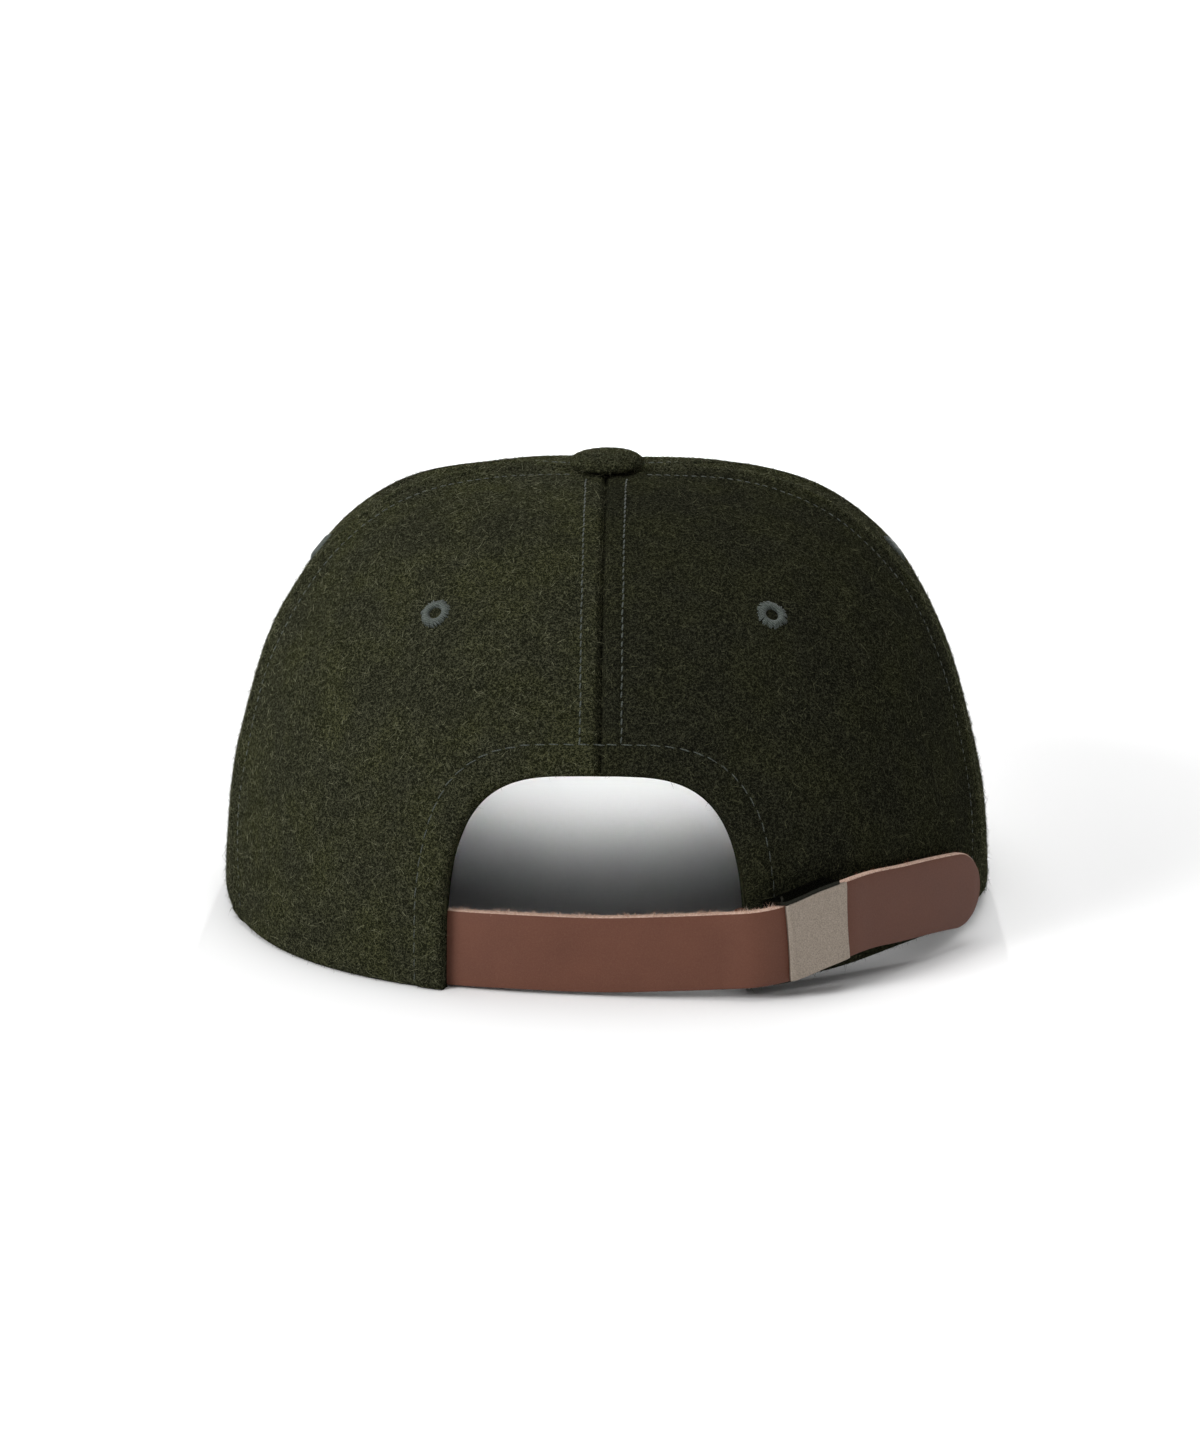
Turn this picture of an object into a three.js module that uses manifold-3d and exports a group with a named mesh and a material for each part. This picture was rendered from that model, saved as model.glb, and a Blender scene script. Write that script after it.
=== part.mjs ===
// A five-panel cap of felted wool with a covered button, a curved brim and a leather strap that
// closes the arched opening at the back through a metal buckle. It rests on its back rim and on
// the side edges of its brim. Millimetres, +Z up: the brim points to +Y and the strap is at -Y.
// Azimuths are in degrees from the middle of the back, positive towards +X.
import * as THREE from 'three';
import { mergeVertices } from 'three/addons/utils/BufferGeometryUtils.js';
import Module from 'manifold-3d';

const wasm = await Module();
wasm.setup();

// Crown, measured on the outside of the cloth.
const CROWN_HALF_WIDTH = 91;
const CROWN_BACK = 97;
const CROWN_FRONT = 99;
const CROWN_HEIGHT = 101.6;
const APEX_BACK = 5.3;
const PLAN_POWER = 2.25;
const WOOL = 2;
const SEAM_GAP = 0.3;
const FIT_GAP = 0.3;
const WALL_GAP = 0.45;
const RIDGE_HEIGHT = 0.9;
const RIDGE_WIDTH = 7;

// How the crown's profile curves in each direction: a low taper keeps it wide up to the shoulder.
const PROFILES = {
  back: { taper: 0.836, rise: 0.903 },
  side: { taper: 0.573, rise: 1.058 },
  front: { taper: 1.017, rise: 1.004 },
};

// Seams between the panels, from the rim to the button; ridge is a share of RIDGE_HEIGHT.
const SEAMS = {
  back: { rimAzimuth: 0, topAzimuth: 0, ridge: -0.6 },
  rear: { rimAzimuth: 66, topAzimuth: 82, ridge: 1 },
  fore: { rimAzimuth: 127, topAzimuth: 103, ridge: 0.6 },
};
const SEAM_BEND = 0.7;
const SEAM_TOP_CLIMB = 0.8;
const SHOULDER_POWER = 0.75;
const FULL_TURN = 360;

// Rim: the sides rise a little, and the strap's pull lifts the right back panel off the floor.
const SIDE_RISE = 2;
const SIDE_RISE_AZIMUTHS = { from: 45, to: 90 };
const BRIM_RISE_AZIMUTHS = { from: 88, to: 116 };
const RIM_LIFT = 4.4;
const RIM_LIFTS = [
  { azimuth: 14, share: 0 },
  { azimuth: 28, share: 0.55 },
  { azimuth: 46, share: 1 },
  { azimuth: 60, share: 0.9 },
  { azimuth: 88, share: 0 },
];

// Opening at the back.
const ARCH_HALF_WIDTH = 34.6;
const ARCH_HEIGHT = 50;
const ARCH_CENTRE = -1.2;
const ARCH_POWER = 3.5;

// Button on top, with its post through the crown and a washer under it.
const BUTTON_DIAMETER = 17.5;
const BUTTON_HEIGHT = 4.2;
const BUTTON_POST = 2.4;
const BUTTON_HOLE = 4;
const WASHER_DIAMETER = 9;
const WASHER_THICKNESS = 0.8;

// Embroidered eyelets: one on each back and side panel, at one height.
const EYELET_DIAMETER = 8;
const EYELET_HOLE = 3;
const EYELET_WAIST = 4.6;
const EYELET_BULGE = 0.8;
const EYELET_HEIGHT = 80;
const EYELET_AZIMUTHS = { back: 33.4, side: 96 };

// Brim, bent over its middle line, with its side edges on the floor.
const BRIM_LENGTH = 70;
const BRIM_INSET = 3;
const BRIM_THICKNESS = 3.2;
const BRIM_BEND = 24;
const BRIM_DIP = 4;
const BRIM_CORNER = 118;
const BRIM_SHOULDER = 18;
const BRIM_TAPER = 51;
const BRIM_POWER = 2.3;

// Sweatband inside the rim, open across the arch.
const BAND_HEIGHT = 27;
const BAND_THICKNESS = 1.2;
const BAND_RAISE = 1;
const BAND_END = 25;
const BAND_STEPS = { keeperFrom: 34, keeperTo: 44, strapFrom: 300, strapTo: 314 };

// Strap: out is the gap from the crown's outside to the strap's inner face, as a share of
// STRAP_STAND, and height is the middle line's, as a share of STRAP_WIDTH.
const STRAP_WIDTH = 17.6;
const STRAP_THICKNESS = 2.2;
const STRAP_STAND = 4.3;
const STRAP_ROUTE = [
  { azimuth: -41, out: -1.22, height: 0.54 },
  { azimuth: -31, out: -1.22, height: 0.54 },
  { azimuth: -22, out: -1.22, height: 0.54 },
  { azimuth: -11, out: -1.13, height: 0.56 },
  { azimuth: 0, out: -0.86, height: 0.56 },
  { azimuth: 9, out: -0.32, height: 0.6 },
  { azimuth: 16, out: 0.32, height: 0.64 },
  { azimuth: 20, out: 0.96, height: 0.68 },
  { azimuth: 24, out: 1.04, height: 0.73 },
  { azimuth: 28, out: 0.98, height: 0.83 },
  { azimuth: 32, out: 1, height: 0.92 },
  { azimuth: 37, out: 0.5, height: 0.93 },
  { azimuth: 43, out: 0.15, height: 0.88 },
  { azimuth: 50, out: 0.13, height: 0.83 },
  { azimuth: 55, out: 0.33, height: 0.78 },
  { azimuth: 60.5, out: 0.75, height: 0.7 },
];

// Buckle: a frame with two walls and a bar behind the strap, and a plate that clips over it.
const BUCKLE_LENGTH = 15;
const BUCKLE_AZIMUTH = 24;
const METAL = 0.8;
const PLATE_RAISE = 0.2;
const BAR_WIDTH = 1.2;
const BAR_REACH = 3.6;
const EAR = 1.3;

// Keeper: the leather tab from inside the right back panel to the buckle's bar.
const KEEPER_WIDTH = 13;
const KEEPER_THICKNESS = 1;
const KEEPER_INSIDE = 12;

const WOOL_GREEN = { color: 0x33352a, roughness: 0.95, metalness: 0 };
const LEATHER_BROWN = { color: 0x6b4a3e, roughness: 0.6, metalness: 0 };
const NICKEL = { color: 0x8f867b, roughness: 0.4, metalness: 1 };
const THREAD_GREY = { color: 0x646b66, roughness: 0.8, metalness: 0 };
const BAND_GREEN = { color: 0x2c2e25, roughness: 0.9, metalness: 0 };

const UP = new THREE.Vector3(0, 0, 1);
const radians = THREE.MathUtils.degToRad;
const smooth = THREE.MathUtils.smoothstep;

// Value of a named column between the rows of a table, eased from row to row.
function fromTable(rows, column, azimuth) {
  const last = rows.length - 1;
  if (azimuth <= rows[0].azimuth) return rows[0][column];
  if (azimuth >= rows[last].azimuth) return rows[last][column];
  const next = rows.findIndex((row) => row.azimuth > azimuth);
  const [a, b] = [rows[next - 1], rows[next]];
  return THREE.MathUtils.lerp(a[column], b[column], smooth(azimuth, a.azimuth, b.azimuth));
}

// Back, side and front values of a profile, blended round the crown.
function blendProfile(column, azimuth) {
  const along = Math.cos(radians(azimuth));
  const end = along > 0 ? PROFILES.back : PROFILES.front;
  return THREE.MathUtils.lerp(PROFILES.side[column], end[column], along * along);
}

// Plan of the rim: a superellipse, longer in front than behind.
function rimPlan(azimuth) {
  const [across, along] = [Math.sin(radians(azimuth)), Math.cos(radians(azimuth))];
  const reach = along > 0 ? CROWN_BACK : CROWN_FRONT;
  const sum = Math.abs(across / CROWN_HALF_WIDTH) ** PLAN_POWER
    + Math.abs(along / reach) ** PLAN_POWER;
  const radius = sum ** (-1 / PLAN_POWER);
  return new THREE.Vector2(radius * across, -radius * along);
}

const brimHalfWidth = CROWN_HALF_WIDTH - BRIM_INSET;

// Height of the brim's top side, bent over its middle line.
function brimTop(x) {
  return BRIM_THICKNESS + BRIM_BEND * (1 - (x / brimHalfWidth) ** 2);
}

// Height of the crown's rim: on the floor behind, up over the brim in front.
function rimHeight(azimuth) {
  const turn = Math.abs(azimuth);
  const side = SIDE_RISE * smooth(turn, SIDE_RISE_AZIMUTHS.from, SIDE_RISE_AZIMUTHS.to);
  const lift = RIM_LIFT * fromTable(RIM_LIFTS, 'share', azimuth);
  const rim = rimPlan(azimuth);
  const front = brimTop(rim.x * (1 - WOOL / rim.length())) + FIT_GAP;
  const risen = smooth(turn, BRIM_RISE_AZIMUTHS.from, BRIM_RISE_AZIMUTHS.to);
  return THREE.MathUtils.lerp(side + lift, front, risen);
}

// Azimuth of a seam on its way up, where climb is 0 at the rim and 1 at the button.
function seamAzimuth(seam, climb) {
  const share = Math.min(1, climb / SEAM_TOP_CLIMB) ** SEAM_BEND;
  return THREE.MathUtils.lerp(seam.rimAzimuth, seam.topAzimuth, share);
}

// Seams stand proud as soft ridges, and the one in the middle of the back lies in a valley.
function seamRidge(azimuth, climb) {
  const fade = smooth(climb, 0, 0.2) * (1 - smooth(climb, SEAM_TOP_CLIMB, 1));
  const reach = rimPlan(azimuth).length() * Math.cos(climb * Math.PI / 2) ** SHOULDER_POWER;
  let height = 0;
  for (const seam of Object.values(SEAMS)) {
    const away = radians(Math.abs(azimuth) - seamAzimuth(seam, climb)) * reach;
    height += seam.ridge * Math.exp(-((away / RIDGE_WIDTH) ** 2));
  }
  return RIDGE_HEIGHT * height * fade;
}

const topShare = BUTTON_HOLE / 2 / CROWN_HALF_WIDTH;

// Smooth crown before its ridges: each azimuth runs straight to the apex in plan.
function crownBase(azimuth, climb) {
  const share = topShare + (1 - topShare) * Math.cos(climb * Math.PI / 2) ** SHOULDER_POWER;
  const flat = share ** (1 / blendProfile('taper', azimuth));
  const steep = Math.sqrt(Math.max(0, 1 - flat * flat)) ** blendProfile('rise', azimuth);
  const rim = rimPlan(azimuth);
  const z = rimHeight(azimuth);
  const y = -APEX_BACK + (rim.y + APEX_BACK) * share;
  return new THREE.Vector3(rim.x * share, y, z + (CROWN_HEIGHT - z) * steep);
}

// Outward direction of the crown, level at the rim.
function crownNormal(azimuth, climb) {
  const [low, high] = [Math.max(0, climb - 0.01), Math.min(0.995, climb + 0.01)];
  const across = crownBase(azimuth + 0.5, climb).sub(crownBase(azimuth - 0.5, climb));
  const upward = crownBase(azimuth, high).sub(crownBase(azimuth, low));
  const normal = across.cross(upward);
  if (climb < 0.02) normal.z = 0;
  return normal.normalize();
}

// A point at a depth under the crown's outside; a negative depth lies outside.
function crownPoint(azimuth, climb, depth) {
  const rise = seamRidge(azimuth, climb) - depth;
  return crownBase(azimuth, climb).addScaledVector(crownNormal(azimuth, climb), rise);
}

// How far up the crown a height lies, found by halving.
function climbAt(azimuth, height) {
  let [low, high] = [0, 1];
  for (let step = 0; step < 30; step += 1) {
    const middle = (low + high) / 2;
    if (crownBase(azimuth, middle).z < height) low = middle;
    else high = middle;
  }
  return low;
}

// A point beside the wall by its height, past the ridges, for what is sewn or strapped to it.
function crownAt(azimuth, height, depth) {
  const climb = climbAt(azimuth, height);
  const point = crownBase(azimuth, climb);
  point.addScaledVector(crownNormal(azimuth, climb), -depth);
  point.z = Math.min(point.z, height);
  return point;
}

function azimuthOf(point) {
  return THREE.MathUtils.radToDeg(Math.atan2(point.x, -point.y));
}

// Way up the wall beside a point.
function crownSlope(point) {
  const azimuth = azimuthOf(point);
  const low = crownAt(azimuth, point.z - STRAP_WIDTH / 4, 0);
  return crownAt(azimuth, point.z + STRAP_WIDTH / 4, 0).sub(low).normalize();
}

// One closed body from an indexed mesh, with its faces turned out.
function closedGeometry(positions, triangles) {
  const [a, b, c] = [new THREE.Vector3(), new THREE.Vector3(), new THREE.Vector3()];
  let volume = 0;
  for (const [i, j, k] of triangles) {
    a.copy(positions[i]);
    b.copy(positions[j]);
    c.copy(positions[k]);
    volume += a.dot(b.cross(c));
  }
  const facing = volume < 0 ? triangles.map(([i, j, k]) => [i, k, j]) : triangles;
  const geometry = new THREE.BufferGeometry().setFromPoints(positions);
  geometry.setIndex(facing.flat());
  return geometry;
}

// Shell between two grids of points of one size, each a list of rows.
function shellGeometry(outer, inner) {
  const [rows, columns] = [outer.length, outer[0].length];
  const positions = [...outer.flat(), ...inner.flat()];
  const id = (side, row, column) => side * rows * columns + row * columns + column;
  const triangles = [];
  const quad = (a, b, c, d) => triangles.push([a, b, c], [a, c, d]);
  for (let r = 0; r < rows - 1; r += 1) {
    for (let c = 0; c < columns - 1; c += 1) {
      quad(id(0, r, c), id(0, r, c + 1), id(0, r + 1, c + 1), id(0, r + 1, c));
      quad(id(1, r, c), id(1, r + 1, c), id(1, r + 1, c + 1), id(1, r, c + 1));
    }
    quad(id(0, r, 0), id(0, r + 1, 0), id(1, r + 1, 0), id(1, r, 0));
    const end = columns - 1;
    quad(id(0, r, end), id(1, r, end), id(1, r + 1, end), id(0, r + 1, end));
  }
  for (let c = 0; c < columns - 1; c += 1) {
    quad(id(0, 0, c), id(1, 0, c), id(1, 0, c + 1), id(0, 0, c + 1));
    const end = rows - 1;
    quad(id(0, end, c), id(0, end, c + 1), id(1, end, c + 1), id(1, end, c));
  }
  return closedGeometry(positions, triangles);
}

// Grid of points from a function of two shares.
function makeGrid(rows, columns, pointAt) {
  const share = (index, count) => index / (count - 1);
  return Array.from({ length: rows }, (_, r) => Array.from(
    { length: columns }, (__, c) => pointAt(share(r, rows), share(c, columns))));
}

function toSolid(geometry) {
  const bare = geometry.clone();
  bare.deleteAttribute('normal');
  bare.deleteAttribute('uv');
  const merged = mergeVertices(bare, 1e-4);
  const vertProperties = new Float32Array(merged.getAttribute('position').array);
  const triVerts = new Uint32Array(merged.getIndex().array);
  return new wasm.Manifold(new wasm.Mesh({ numProp: 3, vertProperties, triVerts }));
}

function toGeometry(solid) {
  const mesh = solid.getMesh();
  const geometry = new THREE.BufferGeometry();
  geometry.setAttribute('position', new THREE.BufferAttribute(mesh.vertProperties, 3));
  geometry.setIndex(new THREE.BufferAttribute(mesh.triVerts, 1));
  return geometry;
}

function makeMesh(name, geometry, look) {
  const mesh = new THREE.Mesh(geometry, new THREE.MeshStandardMaterial(look));
  mesh.name = name;
  return mesh;
}

// Body turned round the axis of a closed profile of radii and heights.
function turned(profile, sides) {
  const points = [...profile, profile[0]].map(([radius, height]) => (
    new THREE.Vector2(radius, height)));
  return new THREE.LatheGeometry(points, sides).rotateX(Math.PI / 2);
}

const PANEL_ROWS = 18;
const BACK_COLUMNS = 13;
const SIDE_COLUMNS = 11;
const FRONT_COLUMNS = 22;

// Panel between two seams, each given with the side of the cap that it is on.
function panelSolid(from, to, columns, rows = PANEL_ROWS) {
  const edge = ({ seam, sign }, climb) => sign * seamAzimuth(seam, climb);
  const layer = (depth) => makeGrid(rows, columns, (climb, share) => {
    const [start, end] = [edge(from, climb), edge(to, climb)];
    const reach = crownBase(start, climb);
    const radius = Math.hypot(reach.x, reach.y + APEX_BACK);
    const trim = THREE.MathUtils.radToDeg(SEAM_GAP / 2 / radius);
    const azimuth = THREE.MathUtils.lerp(start + trim, end - trim, share);
    return crownPoint(azimuth, climb, depth);
  });
  return toSolid(shellGeometry(layer(0), layer(WOOL)));
}

// Cutter for the arch: straight sides that round over at the top.
function archCutter() {
  const outline = new THREE.Shape();
  const reach = ARCH_HEIGHT;
  outline.moveTo(ARCH_CENTRE + ARCH_HALF_WIDTH, -reach);
  for (let step = 0; step <= 28; step += 1) {
    const angle = Math.PI * step / 28;
    const [across, upward] = [Math.cos(angle), Math.sin(angle)];
    const x = Math.sign(across) * ARCH_HALF_WIDTH * Math.abs(across) ** (2 / ARCH_POWER);
    const z = ARCH_HEIGHT * upward ** (2 / ARCH_POWER);
    outline.lineTo(ARCH_CENTRE + x, z);
  }
  outline.lineTo(ARCH_CENTRE - ARCH_HALF_WIDTH, -reach);
  const block = new THREE.ExtrudeGeometry(outline, { depth: CROWN_BACK, bevelEnabled: false });
  block.rotateX(Math.PI / 2);
  block.translate(0, -CROWN_BACK / 3, 0);
  return toSolid(block);
}

// Placement of an eyelet: its axis stands square on the crown.
function eyeletPlace(azimuth) {
  const climb = climbAt(azimuth, EYELET_HEIGHT);
  const turn = new THREE.Quaternion().setFromUnitVectors(UP, crownNormal(azimuth, climb));
  return new THREE.Matrix4().compose(crownPoint(azimuth, climb, 0), turn, new THREE.Vector3(1, 1, 1));
}

function eyeletHole(azimuth) {
  const radius = EYELET_WAIST / 2 + FIT_GAP;
  const bore = new THREE.CylinderGeometry(radius, radius, 4 * WOOL, 14).rotateX(Math.PI / 2);
  return toSolid(bore.applyMatrix4(eyeletPlace(azimuth)));
}

// Eyelet: a ring of thread that grips both sides of the cloth round its hole.
function makeEyelet(name, azimuth) {
  const [bore, waist, rim] = [EYELET_HOLE / 2, EYELET_WAIST / 2, EYELET_DIAMETER / 2];
  const [top, under] = [FIT_GAP, -WOOL - WALL_GAP];
  const profile = [
    [bore, under - 0.4 * EYELET_BULGE],
    [waist, under - EYELET_BULGE],
    [rim, under],
    [waist, under],
    [waist, top],
    [rim, top],
    [waist, top + EYELET_BULGE],
    [bore, top + 0.4 * EYELET_BULGE],
  ];
  const ring = turned(profile, 14).applyMatrix4(eyeletPlace(azimuth));
  return makeMesh(name, ring, THREAD_GREY);
}

// Crown: five panels from the rim to the button.
function makePanels() {
  const { back, rear, fore } = SEAMS;
  const panels = {
    back_panel_right: { from: back, to: rear, columns: BACK_COLUMNS, row: 'back', sign: 1 },
    back_panel_left: { from: rear, to: back, columns: BACK_COLUMNS, row: 'back', sign: -1 },
    side_panel_right: { from: rear, to: fore, columns: SIDE_COLUMNS, row: 'side', sign: 1 },
    side_panel_left: { from: fore, to: rear, columns: SIDE_COLUMNS, row: 'side', sign: -1 },
  };
  const arch = archCutter();
  const meshes = Object.entries(panels).map(([name, { from, to, columns, row, sign }]) => {
    let solid = panelSolid({ seam: from, sign }, { seam: to, sign }, columns);
    if (row === 'back') solid = solid.subtract(arch);
    solid = solid.subtract(eyeletHole(sign * EYELET_AZIMUTHS[row]));
    return makeMesh(name, toGeometry(solid), WOOL_GREEN);
  });
  const past = {
    rimAzimuth: FULL_TURN - fore.rimAzimuth, topAzimuth: FULL_TURN - fore.topAzimuth,
  };
  const front = panelSolid({ seam: fore, sign: 1 }, { seam: past, sign: 1 }, FRONT_COLUMNS);
  return [...meshes, makeMesh('front_panel', toGeometry(front), WOOL_GREEN)];
}

// Button: a shallow dome, its post and the washer that holds it from inside.
function makeButton() {
  const [rim, post, washer] = [BUTTON_DIAMETER / 2, BUTTON_POST / 2, WASHER_DIAMETER / 2];
  const [seat, inside] = [WALL_GAP, -WOOL - WALL_GAP];
  const profile = [
    [0, inside - WASHER_THICKNESS],
    [washer, inside - WASHER_THICKNESS],
    [washer, inside],
    [post, inside],
    [post, seat],
    [rim * 0.8, seat],
    [rim, seat + 0.25 * BUTTON_HEIGHT],
    [rim, seat + 0.45 * BUTTON_HEIGHT],
    [rim * 0.86, seat + 0.75 * BUTTON_HEIGHT],
    [rim * 0.5, seat + 0.95 * BUTTON_HEIGHT],
    [0, seat + BUTTON_HEIGHT],
  ].map(([radius, height]) => new THREE.Vector2(radius, height));
  const body = new THREE.LatheGeometry(profile, 24).rotateX(Math.PI / 2);
  body.translate(0, -APEX_BACK, CROWN_HEIGHT);
  return makeMesh('top_button', body, WOOL_GREEN);
}

// Brim: from under the front rim to a rounded outer edge, bent over its middle line. It is
// widest at its shoulders, and narrows from there towards its corners at the temples.
function makeBrim() {
  const widest = rimPlan(BRIM_CORNER).y + BRIM_SHOULDER;
  const front = CROWN_FRONT + BRIM_LENGTH - widest;
  const ease = (value) => Math.sign(value) * Math.abs(value) ** (2 / BRIM_POWER);
  const past = Math.asin((BRIM_SHOULDER / BRIM_TAPER) ** (BRIM_POWER / 2));
  const layer = (under) => makeGrid(9, 31, (outward, share) => {
    const azimuth = THREE.MathUtils.lerp(BRIM_CORNER, FULL_TURN - BRIM_CORNER, share);
    const inner = crownPoint(azimuth, 0, WOOL);
    const angle = (Math.PI + 2 * past) * (share - 0.5);
    const x = -brimHalfWidth * ease(Math.sin(angle));
    const forward = ease(Math.cos(angle));
    const y = widest + (forward > 0 ? front : BRIM_TAPER) * forward;
    const point = new THREE.Vector3(inner.x, inner.y, 0);
    point.lerp(new THREE.Vector3(x, y, 0), outward);
    const dip = BRIM_DIP * outward ** 2 * (1 - (point.x / brimHalfWidth) ** 2);
    point.z = brimTop(point.x) - dip - under;
    return point;
  });
  const body = shellGeometry(layer(0), layer(BRIM_THICKNESS));
  return makeMesh('brim', body, WOOL_GREEN);
}

// Sweatband: lies on the wall, and steps in where the strap and the keeper are sewn under it.
function makeSweatband() {
  const strapRoom = STRAP_THICKNESS + 2 * WALL_GAP;
  const keeperRoom = KEEPER_THICKNESS + WALL_GAP;
  const layer = (thickness) => makeGrid(3, 61, (upward, share) => {
    const around = THREE.MathUtils.lerp(BAND_END, FULL_TURN - BAND_END, share);
    const left = strapRoom * smooth(around, BAND_STEPS.strapFrom, BAND_STEPS.strapTo);
    const right = keeperRoom * (1 - smooth(around, BAND_STEPS.keeperFrom, BAND_STEPS.keeperTo));
    const azimuth = around > FULL_TURN / 2 ? around - FULL_TURN : around;
    const height = rimHeight(azimuth) + BAND_RAISE + BAND_HEIGHT * upward;
    return crownAt(azimuth, height, WOOL + WALL_GAP + left + right + thickness);
  });
  const body = shellGeometry(layer(0), layer(BAND_THICKNESS));
  return makeMesh('sweatband', body, BAND_GREEN);
}

// Middle line of the strap, and the way from the panel to the strap at each row of its route.
const strapCurve = new THREE.CatmullRomCurve3(STRAP_ROUTE.map((row) => {
  const out = row.out * STRAP_STAND + STRAP_THICKNESS / 2;
  return crownAt(row.azimuth, row.height * STRAP_WIDTH, -out);
}));
const strapLength = strapCurve.getLength();

// Frame of the strap at a distance along it: its middle, and its ways along, up and outward.
function strapFrame(distance) {
  const share = THREE.MathUtils.clamp(distance / strapLength, 0, 1);
  const middle = strapCurve.getPointAt(share);
  const along = strapCurve.getTangentAt(share);
  const upward = crownSlope(middle);
  upward.addScaledVector(along, -upward.dot(along)).normalize();
  const outward = along.clone().cross(upward).normalize();
  return { middle, along, upward, outward };
}

// Point beside the strap's middle line, by its distance along, up and outward.
function besideStrap(distance, up, out) {
  const { middle, along, upward, outward } = strapFrame(distance);
  const over = distance - THREE.MathUtils.clamp(distance, 0, strapLength);
  return middle.addScaledVector(along, over).addScaledVector(upward, up)
    .addScaledVector(outward, out);
}

// Slab that follows the strap. Its top may change along it.
function strapSlab({ from, to, low, high, inner, outer, steps = 6 }) {
  const face = (side) => makeGrid(2, steps + 1, (across, share) => {
    const distance = THREE.MathUtils.lerp(from, to, share);
    const up = THREE.MathUtils.lerp(low, high, across);
    const out = side === 'outer' ? outer(share) : inner;
    return besideStrap(distance, up, out);
  });
  return shellGeometry(face('outer'), face('inner'));
}

// Distance along the strap at which it passes an azimuth.
function distanceAt(azimuth) {
  let [low, high] = [0, strapLength];
  for (let step = 0; step < 30; step += 1) {
    const middle = (low + high) / 2;
    const point = strapFrame(middle).middle;
    if (azimuthOf(point) < azimuth) low = middle;
    else high = middle;
  }
  return low;
}

// Strap: one flat length of leather with a round end.
function makeStrap() {
  const half = STRAP_WIDTH / 2;
  const steps = 68;
  const narrow = (distance) => {
    const into = Math.max(0, distance - (strapLength - half)) / half;
    return half * Math.sqrt(Math.max(0.02, 1 - into * into));
  };
  const distances = Array.from({ length: steps + 1 }, (_, step) => strapLength * step / steps);
  const round = [0.55, 0.75, 0.9, 0.97].map((share) => strapLength - half * (1 - share));
  const stations = [...distances.slice(0, -4), ...round, strapLength].sort((a, b) => a - b);
  const face = (out) => [-1, 1].map((side) => stations.map((distance) => (
    besideStrap(distance, side * narrow(distance), out))));
  const body = shellGeometry(face(STRAP_THICKNESS / 2), face(-STRAP_THICKNESS / 2));
  return makeMesh('strap', body, LEATHER_BROWN);
}

const buckleStart = distanceAt(BUCKLE_AZIMUTH);
const strapFace = STRAP_THICKNESS / 2 + FIT_GAP;
const wallFoot = STRAP_WIDTH / 2 + FIT_GAP;
const barOut = -strapFace - KEEPER_THICKNESS - FIT_GAP;

// Plate that closes over the strap, with a rolled edge at its hinge.
function makeBucklePlate() {
  const [low, high] = [-STRAP_WIDTH / 2 + PLATE_RAISE, STRAP_WIDTH / 2 + PLATE_RAISE];
  const plate = toSolid(strapSlab({
    from: buckleStart, to: buckleStart + BUCKLE_LENGTH, low, high,
    inner: strapFace, outer: () => strapFace + METAL,
  }));
  const roll = toSolid(strapSlab({
    from: buckleStart, to: buckleStart + 2 * METAL, low, high,
    inner: strapFace, outer: (share) => strapFace + METAL * (1 + 0.35 * Math.sin(Math.PI * share)),
  }));
  return makeMesh('buckle_plate', toGeometry(plate.add(roll)), NICKEL);
}

// Frame behind the strap: base, hinge ear and the bar for the keeper. Its upper wall reaches out
// to the plate, and its lower one stays behind the strap.
function makeBuckleFrame() {
  const end = buckleStart + BUCKLE_LENGTH - METAL;
  const barStart = buckleStart - BAR_REACH;
  const full = strapFace + METAL;
  let frame = toSolid(strapSlab({
    from: buckleStart + METAL, to: end, low: -wallFoot - METAL / 2, high: wallFoot + METAL / 2,
    inner: -strapFace - METAL, outer: () => -strapFace,
  }));
  frame = frame.add(toSolid(strapSlab({
    from: barStart, to: barStart + BAR_WIDTH, low: -wallFoot - METAL / 2,
    high: wallFoot + METAL / 2, inner: barOut - METAL, outer: () => barOut, steps: 1,
  })));
  const walls = [
    { low: wallFoot, high: wallFoot + METAL, reach: full },
    { low: -wallFoot - METAL, high: -wallFoot, reach: -strapFace },
  ];
  for (const { low, high, reach } of walls) {
    const slope = (share) => THREE.MathUtils.lerp(barOut, reach, Math.min(1, share * 4));
    frame = frame.add(toSolid(strapSlab({
      from: barStart, to: end, low, high, inner: barOut - METAL, outer: slope, steps: 12,
    })));
  }
  const ear = toSolid(strapSlab({
    from: buckleStart, to: buckleStart + METAL, low: wallFoot + METAL / 2,
    high: wallFoot + METAL + EAR, inner: strapFace - METAL, outer: () => strapFace, steps: 1,
  }));
  return makeMesh('buckle_frame', toGeometry(frame.add(ear)), NICKEL);
}

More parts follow.
